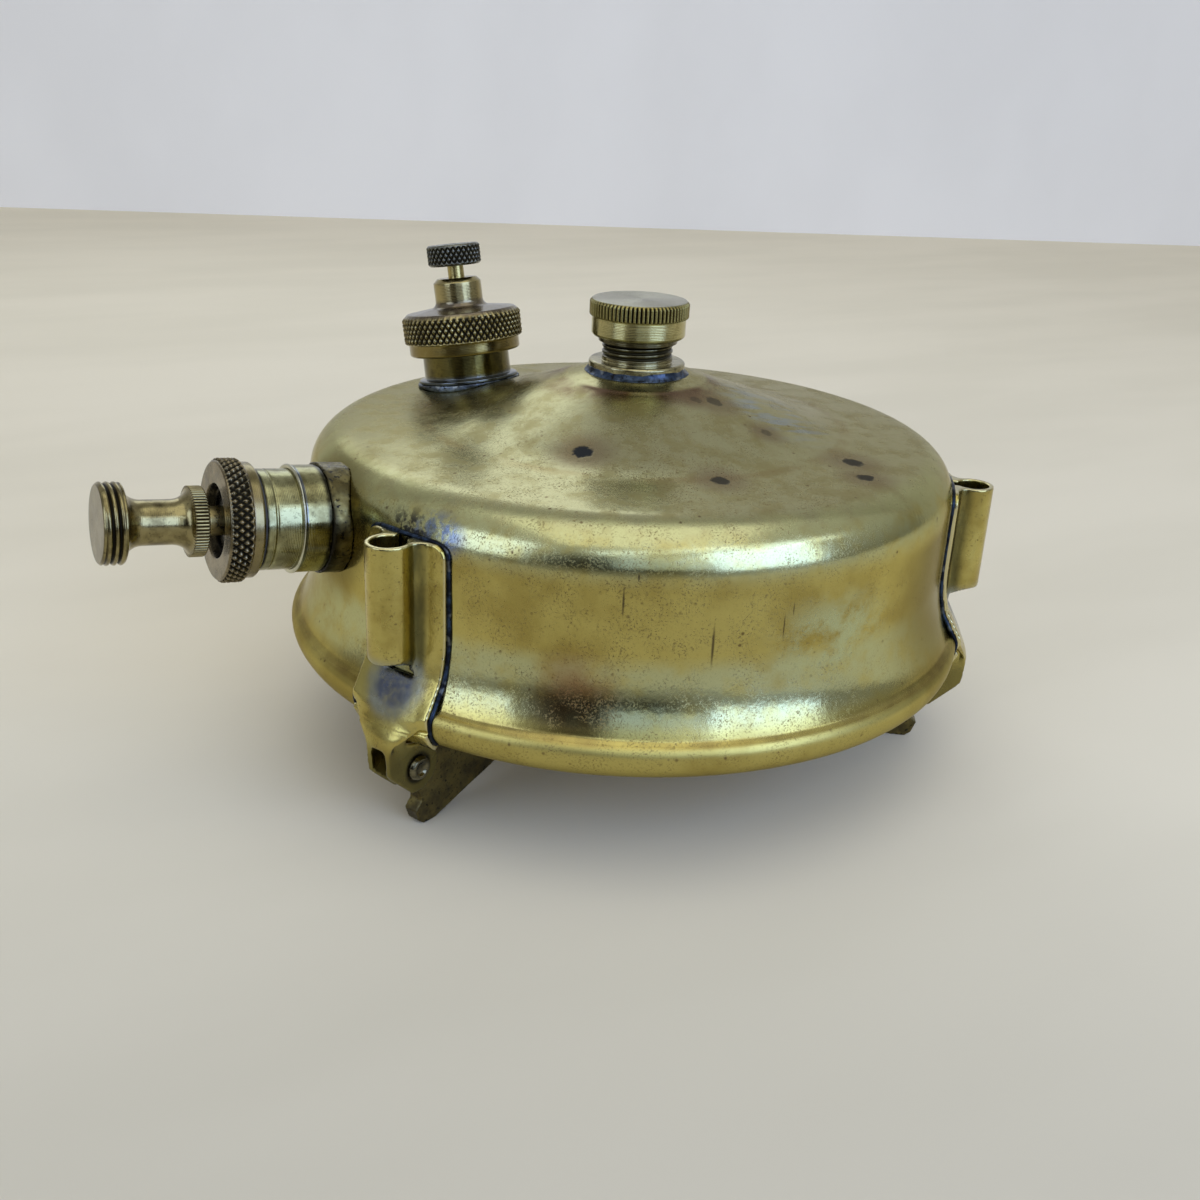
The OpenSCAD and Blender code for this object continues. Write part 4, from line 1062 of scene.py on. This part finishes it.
# Piece, bright and dull tone, roughness, grime, depth of the tool's rings, and zones.
TURNED = [
    ("travel_cap_turned", (0.30, 0.25, 0.085), (0.12, 0.095, 0.025), 0.15, 0.3, 1.0,
     [("height", 2.72, 2.88, 1.0, (0.27, 0.25, 0.145)), ("height", 0.08, -0.12, 1.0, (0.50, 0.45, 0.21)),
      # The narrow lip under the collar: painted shade.
      ("height", -2.6, -3.6, 0.9, (0.06, 0.05, 0.03))]),
    ("neck_threaded", (0.40, 0.36, 0.20), (0.13, 0.11, 0.05), 0.2, 0.9, 0.3,
     [("height", -7.2, -6.6, 0.8, (0.05, 0.045, 0.025))]),
    ("filler_turned", (0.14, 0.115, 0.035), (0.05, 0.04, 0.012), 0.15, 0.75, 0.3,
     [("height", 2.6, 1.6, 0.9, (0.13, 0.15, 0.17))]),
    ("filler_cap_turned", (0.38, 0.32, 0.15), (0.09, 0.07, 0.026), 0.17, 0.8, 0.4,
     [("height", 12.9, 13.6, 0.75, (0.11, 0.09, 0.085)), ("height", 14.9, 16.2, 0.8, (0.42, 0.35, 0.15)),
      ("height", 8.4, 8.25, 0.85, (0.20, 0.15, 0.045))]),
    ("barrel_turned", (0.34, 0.33, 0.17), (0.12, 0.10, 0.04), 0.17, 0.6, 0.3,
     [("height", 68.0, 68.3, 0.9, DIRT_AND_SHADE)]),
    ("ferrule_turned", (0.33, 0.31, 0.15), (0.12, 0.10, 0.04), 0.18, 0.7, 0.3,
     [("height", 59.6, 58.9, 0.95, DIRT_AND_SHADE), ("height", 62.2, 62.5, 0.6, (0.10, 0.14, 0.24)),
      # The ferrule's outer rim: a painted highlight.
      ("height", 62.75, 62.95, 0.9, (0.60, 0.58, 0.42))]),
    ("air_stem_turned", (0.44, 0.36, 0.14), (0.19, 0.15, 0.05), 0.2, 0.5, 0.35, []),
    ("air_knob_turned", (0.17, 0.17, 0.14), (0.05, 0.048, 0.038), 0.26, 0.7, 0.35, []),
    ("pump_cap_turned", (0.24, 0.195, 0.115), (0.06, 0.05, 0.025), 0.24, 0.7, 0.35,
     # The recess round the plunger rod: painted shade.
     [("radius", 5.75, 5.55, 0.97, DIRT_AND_SHADE), ("height", 70.6, 70.3, 0.5, (0.30, 0.25, 0.10))]),
    ("pump_knob_turned", (0.31, 0.26, 0.12), (0.085, 0.065, 0.028), 0.17, 0.7, 0.35,
     # The knob flange's inner face, in that recess: painted shade.
     [("height", 90.95, 91.08, 0.7, (0.13, 0.105, 0.06)), ("height", 76.2, 75.9, 0.95, DIRT_AND_SHADE)])]
for piece, *tones in TURNED:
    dress(turned_brass(piece.rsplit("_", 1)[0] + "_brass", *tones), piece)
print("turned brass in", len(TURNED), "tones")

# %% [markdown]
# ### Solder, brackets, feet
# Solder that has been hot goes slate blue with black skin in its hollows. The brackets are
# the wall's brass again, with a blue bloom under each loop, pale rims that are rubbed and
# also carry a painted highlight, and painted shade on the lower part, in the corners beside
# each loop and round each rivet, all read from the measures stored on their mesh.

# %% Solder
def solder_finish(name, skin, bloom_tone, bright_share, place=None):
    """Dark skin with a bloom of a second tone, fine black pores and a few bare bright spots."""
    s = Finish(name)
    bloom = s.patches((2.6, 3, 0.55), 0.40, 0.66)
    tone = s.mix(bloom, skin, bloom_tone)
    tone = s.stain(tone, (0.012, 0.012, 0.014), s.patches((0.7, 3, 0.6), 0.54, 0.68))
    tone = s.stain(tone, (0.40, 0.43, 0.42), s.patches((2.5, 2), 0.60, 0.70), bright_share)
    if place:
        tone = s.stain(tone, DIRT_AND_SHADE, s.near(*place))
    relief = s.bumps(s.noise(0.6, 3, 0.6), 0.10, 0.6)
    return s.done(tone, s.patches((1.5, 2), 0.3, 0.7, 0.25, 0.5), 1.0, relief)


dress(solder_finish("neck_solder_skin", (0.025, 0.035, 0.052), (0.075, 0.105, 0.165), 0.4),
      "neck_solder_ring")
dress(solder_finish("strap_solder_skin", (0.012, 0.014, 0.020), (0.035, 0.055, 0.095), 0.25),
      *[f"bracket_{c}_solder" for c in "abc"])
dress(solder_finish("filler_solder_skin", (0.06, 0.07, 0.085), (0.16, 0.19, 0.22), 0.8),
      "filler_solder_ring")
under_barrel = (-58.6, 0, -28.4), 7.6, 10.6, (4.0, 0.9, 0.9)
dress(solder_finish("pump_solder_skin", (0.10, 0.082, 0.034), (0.22, 0.185, 0.075), 0.0, under_barrel),
      "pump_solder_ring")

# %% Pressed brass of the brackets
p = Finish("bracket_brass")
bloomed, rim, shaded_low_part = p.measure("bloomed"), p.measure("rim"), p.measure("under")
base = p.mix(p.patches((7, 4, 0.6), 0.40, 0.66), WALL_BRASS, OLD_BRASS)
grain = p.both(p.patches((0.5, 2, 0.7), 0.57, 0.68), p.patches((3, 3, 0.6), 0.42, 0.62))
base = p.stain(base, (0.17, 0.12, 0.045), grain, 0.75)
# Painted shade on the lower part.
base = p.stain(base, (0.15, 0.13, 0.045), shaded_low_part, 0.8)
# Painted shade and dark reflection in the corners beside each loop.
corner = p.both(p.measure("corner"), p.patches((3.0, 4, 0.6), 0.25, 0.6, 0.5, 1.0, stretch=(1, 1, 0.3)))
base = p.stain(base, (0.055, 0.055, 0.025), corner, 0.85)
halo = p.both(p.ramp(bloomed, 0.0, 0.55), p.patches((3.5, 3, 0.6), 0.25, 0.65, 0.25, 0.7))
base = p.stain(base, (0.33, 0.37, 0.35), halo)
core = p.both(p.ramp(bloomed, 0.55, 1.0), p.patches((1.9, 4, 0.65), 0.25, 0.65, 0.30, 0.9))
base = p.stain(base, (0.09, 0.115, 0.20), core)
# Painted shade round each rivet.
base = p.stain(base, DIRT_AND_SHADE, p.measure("ring"), 0.9)
# Pale rims: rubbed edges with a painted highlight.
base = p.stain(base, (0.66, 0.60, 0.36), rim, 0.7)
dull = p.mix(rim, p.patches((4, 3), 0.3, 0.7, 0.18, 0.30), (0.2, 0.2, 0.2))
lumps = p.math("ADD", p.both(p.noise(0.9, 3, 0.6), 0.7), p.noise(3.2, 2))
dress(p.done(base, dull, 1.0, p.bumps(lumps, 0.05, 0.6)), *[f"bracket_{c}_pressed" for c in "abc"])

# %% Feet and rivets
q = Finish("foot_sheet")
tone = q.mix(q.patches((4, 4, 0.6), 0.38, 0.66), (0.20, 0.16, 0.055), (0.08, 0.065, 0.03))
tone = q.stain(tone, (0.02, 0.018, 0.012), q.patches((0.6, 3, 0.6), 0.56, 0.70))
dress(q.done(tone, q.patches((2, 3), 0.3, 0.7, 0.32, 0.5), 1.0, q.bumps(q.noise(0.8, 3, 0.6), 0.06, 0.7)),
      *[f"foot_{c}_folded" for c in "abc"])
dress(turned_brass("rivet_brass", (0.20, 0.18, 0.11), (0.05, 0.045, 0.025), 0.16, 0.85),
      *[f"rivet_{c}_hollow" for c in "abc"])

# %% Solder, brackets and feet
print("solder, brackets and feet: finished")

# %% [markdown]
# ### What is inside
# Washers, the leather cup, the riser and the valve show only when the stove is taken
# apart, as its joints allow, so each gets its own finish too.

# %% Inner pieces
def inner_finish(name, blobs, low, high, tone_a, tone_b, rough, metallic, grain, relief_mm, strength):
    """Clouds of two tones over a fine even relief, for pieces with no measures of their own."""
    f = Finish(name)
    tone = f.mix(f.patches(blobs, low, high), tone_a, tone_b)
    return f.done(tone, rough, metallic, f.bumps(f.noise(*grain), relief_mm, strength))


r = Finish("inner_brass")
tone = r.mix(r.patches((2.5, 4, 0.6), 0.4, 0.66), (0.62, 0.50, 0.22), (0.372, 0.30, 0.132))
rough = r.patches((1.2, 3), 0.3, 0.7, 0.24, 0.39)
dress(r.done(tone, rough, 1.0, r.bumps(r.noise(0.5, 3, 0.6), 0.02, 0.6)), "fuel_riser", "pump_rod",
      "cup_backing_washer", "cup_spreader", "cup_nut", "valve_body", "valve_pip", "valve_cap")

r = Finish("leather")
wrinkle = r.math("ADD", r.noise(0.5, 4, 0.65), r.both(r.noise(1.8, 2), 0.7))
hide = r.mix(r.patches((1.5, 4, 0.6), 0.35, 0.68), (0.16, 0.07, 0.03), (0.06, 0.028, 0.014))
dress(r.done(hide, 0.62, 0.0, r.bumps(wrinkle, 0.12, 0.7)), "leather_cup")

dress(inner_finish("black_rubber", (1.2, 3), 0.35, 0.7, (0.022, 0.022, 0.022), (0.045, 0.042, 0.038),
                   0.7, 0.0, (0.4, 3), 0.04, 0.6), "filler_gasket", "pump_cap_washer", "travel_cap_washer")
dress(inner_finish("cork", (0.5, 4, 0.7), 0.4, 0.62, (0.42, 0.27, 0.14), (0.20, 0.11, 0.05),
                   0.85, 0.0, (0.4, 4), 0.06, 0.8), "valve_cork")
dress(inner_finish("lead_washer", (1.5, 3), 0.4, 0.65, (0.30, 0.31, 0.33), (0.16, 0.16, 0.18),
                   0.5, 1.0, (0.5, 3), 0.04, 0.6), "valve_washer")
dress(inner_finish("spring_wire", (1.0, 3), 0.4, 0.65, (0.55, 0.54, 0.52), (0.33, 0.31, 0.28),
                   0.3, 1.0, (0.3, 2), 0.01, 0.5), "valve_spring_wire")
print("inner pieces: finished")

# %% [markdown]
# ## Floor, wall and light
# The stove stands on a plain pale bench with a pale wall behind. Brass shows what is round
# it, so the light is built like a small photographer's set: a soft window on each side of
# the camera and a weaker one between them, a long narrow skylight for the line along the
# shoulder, a wide soft ceiling and a small window behind. The room is dim where the
# photographer stands, which gives the streak down the middle of the flare.

# %% Camera
HEADING, PITCH, ROLL = (np.radians(v) for v in (58.54, 22.55, 2.71))
SENSOR, FOCAL, PICTURE = 36, 38.7, 1200
eye = np.array([-119.3, -186.6, 39.3])
ahead = np.array([np.cos(HEADING) * np.cos(PITCH), np.sin(HEADING) * np.cos(PITCH), -np.sin(PITCH)])
level_right = np.array([np.sin(HEADING), -np.cos(HEADING), 0])
level_up = np.cross(level_right, ahead)
cam_right = np.cos(ROLL) * level_right + np.sin(ROLL) * level_up
cam_up = -np.sin(ROLL) * level_right + np.cos(ROLL) * level_up
lens = bpy.data.cameras.new("bench_camera")
lens.sensor_width, lens.lens, lens.clip_start = SENSOR, FOCAL, 0.005
camera = bpy.data.objects.new("bench_camera", lens)
basis = np.eye(4)
basis[:3, :3] = np.stack([cam_right, cam_up, -ahead], 1)
basis[:3, 3] = eye * MM
camera.matrix_world = Matrix(basis.tolist())
bpy.context.scene.collection.objects.link(camera)
bpy.context.scene.camera = camera
print("camera is", round(float(np.linalg.norm(eye))), "mm from the neck's rim")

# %% Floor and wall
FLOOR_Z = -74.3


def on_floor(px, py):
    """Where the line of sight through a point of the picture, in its pixels, meets the floor."""
    d = ahead * (FOCAL / SENSOR * PICTURE) + cam_right * (px - PICTURE / 2) + cam_up * (PICTURE / 2 - py)
    return eye + d * ((FLOOR_Z - eye[2]) / d[2])


wall_a, wall_b = on_floor(0, 207), on_floor(1200, 246)
along = (wall_b - wall_a) / np.linalg.norm(wall_b - wall_a)
centre = (wall_a + wall_b) / 2
toward = np.array([along[1], -along[0], 0.0])
toward *= -np.sign(toward @ (centre * [1, 1, 0]))
half_room = 2200.0
corner_a, corner_b = centre - along * half_room, centre + along * half_room
floor_points = np.stack([corner_a, corner_b, corner_b + toward * 2 * half_room,
                         corner_a + toward * 2 * half_room])
wall_points = np.stack([corner_a, corner_b, corner_b + [0, 0, half_room], corner_a + [0, 0, half_room]])


def sheet_object(name, corners, material):
    """A flat sheet that belongs to the stage, not to the part."""
    made = mesh_object(name, corners, [[0, 1, 2, 3]], smooth=False)
    made.data.materials.append(material)


def pale(name, tone_a, tone_b, glow=0.0, shade=0.0):
    """A matte pale surface with faint long clouds; `shade` darkens it beyond the camera's feet."""
    f = Finish(name)
    tone = f.mix(f.patches((160, 3, 0.5), 0.3, 0.7, stretch=(1, 3, 1)), tone_a, tone_b)
    back = [-ahead[0] / np.cos(PITCH), -ahead[1] / np.cos(PITCH), 0]
    nearer = f.add("ShaderNodeVectorMath", {0: f.place, 1: back}, operation="DOT_PRODUCT").outputs["Value"]
    shaded = f.most(f.ramp(nearer, 0.0, 0.15, 0.0, 0.30), f.ramp(nearer, 0.14, 0.38))
    tone = f.stain(tone, (0.05, 0.045, 0.035), shaded, shade)
    return f.done(tone, 0.75, 0.0, Emission_Color=tone_a, Emission_Strength=glow)


sheet_object("bench_floor", floor_points,
             pale("bench_paint", (0.79, 0.715, 0.555), (0.74, 0.67, 0.515), shade=0.8))
sheet_object("bench_wall", wall_points,
             pale("wall_paint", (0.80, 0.785, 0.76), (0.76, 0.745, 0.72), glow=0.14))
print("wall stands", round(float(np.linalg.norm(centre))), "mm away")

# %% Soft lights
def soft_light(name, heading_deg, rise_deg, distance, wide, tall, radiance, tint):
    """A rectangle that faces the stove; its power is pi times area times radiance."""
    a, b = np.radians(heading_deg), np.radians(rise_deg)
    way = np.array([np.cos(a) * np.cos(b), np.sin(a) * np.cos(b), np.sin(b)])
    data = bpy.data.lights.new(name, "AREA")
    data.shape, data.size, data.size_y = "RECTANGLE", wide, tall
    data.energy, data.color = np.pi * wide * tall * radiance, tint
    obj = bpy.data.objects.new(name, data)
    across = np.cross([0, 0, 1.0], way)
    across /= np.linalg.norm(across)
    m = np.eye(4)
    m[:3, :3] = np.stack([across, np.cross(way, across), way], 1)
    m[:3, 3] = way * distance + [0, 0, -0.04]
    obj.matrix_world = Matrix(m.tolist())
    bpy.context.scene.collection.objects.link(obj)


CAMERA_SIDE = 237.4
# Name, heading from the camera's side, rise, distance, width, height, radiance and tint.
LAMPS = [
    ("window_left", -47, 20, 0.9, 0.42, 0.55, 1.6, (0.82, 1.0, 1.45)),
    ("window_right", 48, 20, 0.9, 0.60, 0.60, 2.1, (0.72, 1.0, 1.75)),
    ("skylight", 36, 43, 0.95, 1.5, 0.15, 1.2, (0.80, 1.0, 1.45)),
    ("window_mid", 12, 19, 0.95, 0.50, 0.45, 0.7, (0.80, 1.0, 1.4)),
    ("ceiling", 10, 74, 1.3, 1.3, 1.3, 0.70, (1.0, 0.99, 0.92)),
    ("window_back", -160, 34, 0.62, 0.40, 0.26, 1.1, (0.90, 1.0, 1.12))]
for lamp, heading, *rest in LAMPS:
    soft_light(lamp, CAMERA_SIDE + heading, *rest)

# %% The room: grey, brighter overhead, dim where the photographer stands
world = bpy.data.worlds.new("room")
bpy.context.scene.world = world
world.use_nodes = True
tree = world.node_tree
tree.nodes.clear()
way = add_node(tree, "ShaderNodeTexCoord").outputs["Generated"]
up = add_node(tree, "ShaderNodeSeparateXYZ", {0: way}).outputs[2]
sky = add_node(tree, "ShaderNodeMapRange", {0: up, 1: -0.1, 2: 0.9, 3: 0.20, 4: 0.62}).outputs[0]
gap_way = turned_point(CAMERA_SIDE - 4, 1, 0.10)
facing = add_node(tree, "ShaderNodeVectorMath", {0: way, 1: list(gap_way / np.linalg.norm(gap_way))},
                  operation="DOT_PRODUCT").outputs["Value"]
gap = add_node(tree, "ShaderNodeMapRange", {0: facing, 1: 0.86, 2: 0.97, 3: 1.0, 4: 0.12},
               interpolation_type="SMOOTHSTEP").outputs[0]
lit = add_node(tree, "ShaderNodeMath", {0: sky, 1: gap}, operation="MULTIPLY").outputs[0]
room = add_node(tree, "ShaderNodeBackground", {"Color": (0.97, 1.0, 1.02), "Strength": lit})
add_node(tree, "ShaderNodeOutputWorld", {0: room.outputs[0]})
bpy.context.scene.view_settings.view_transform = "Standard"
print(len(LAMPS), "soft lights and a room")
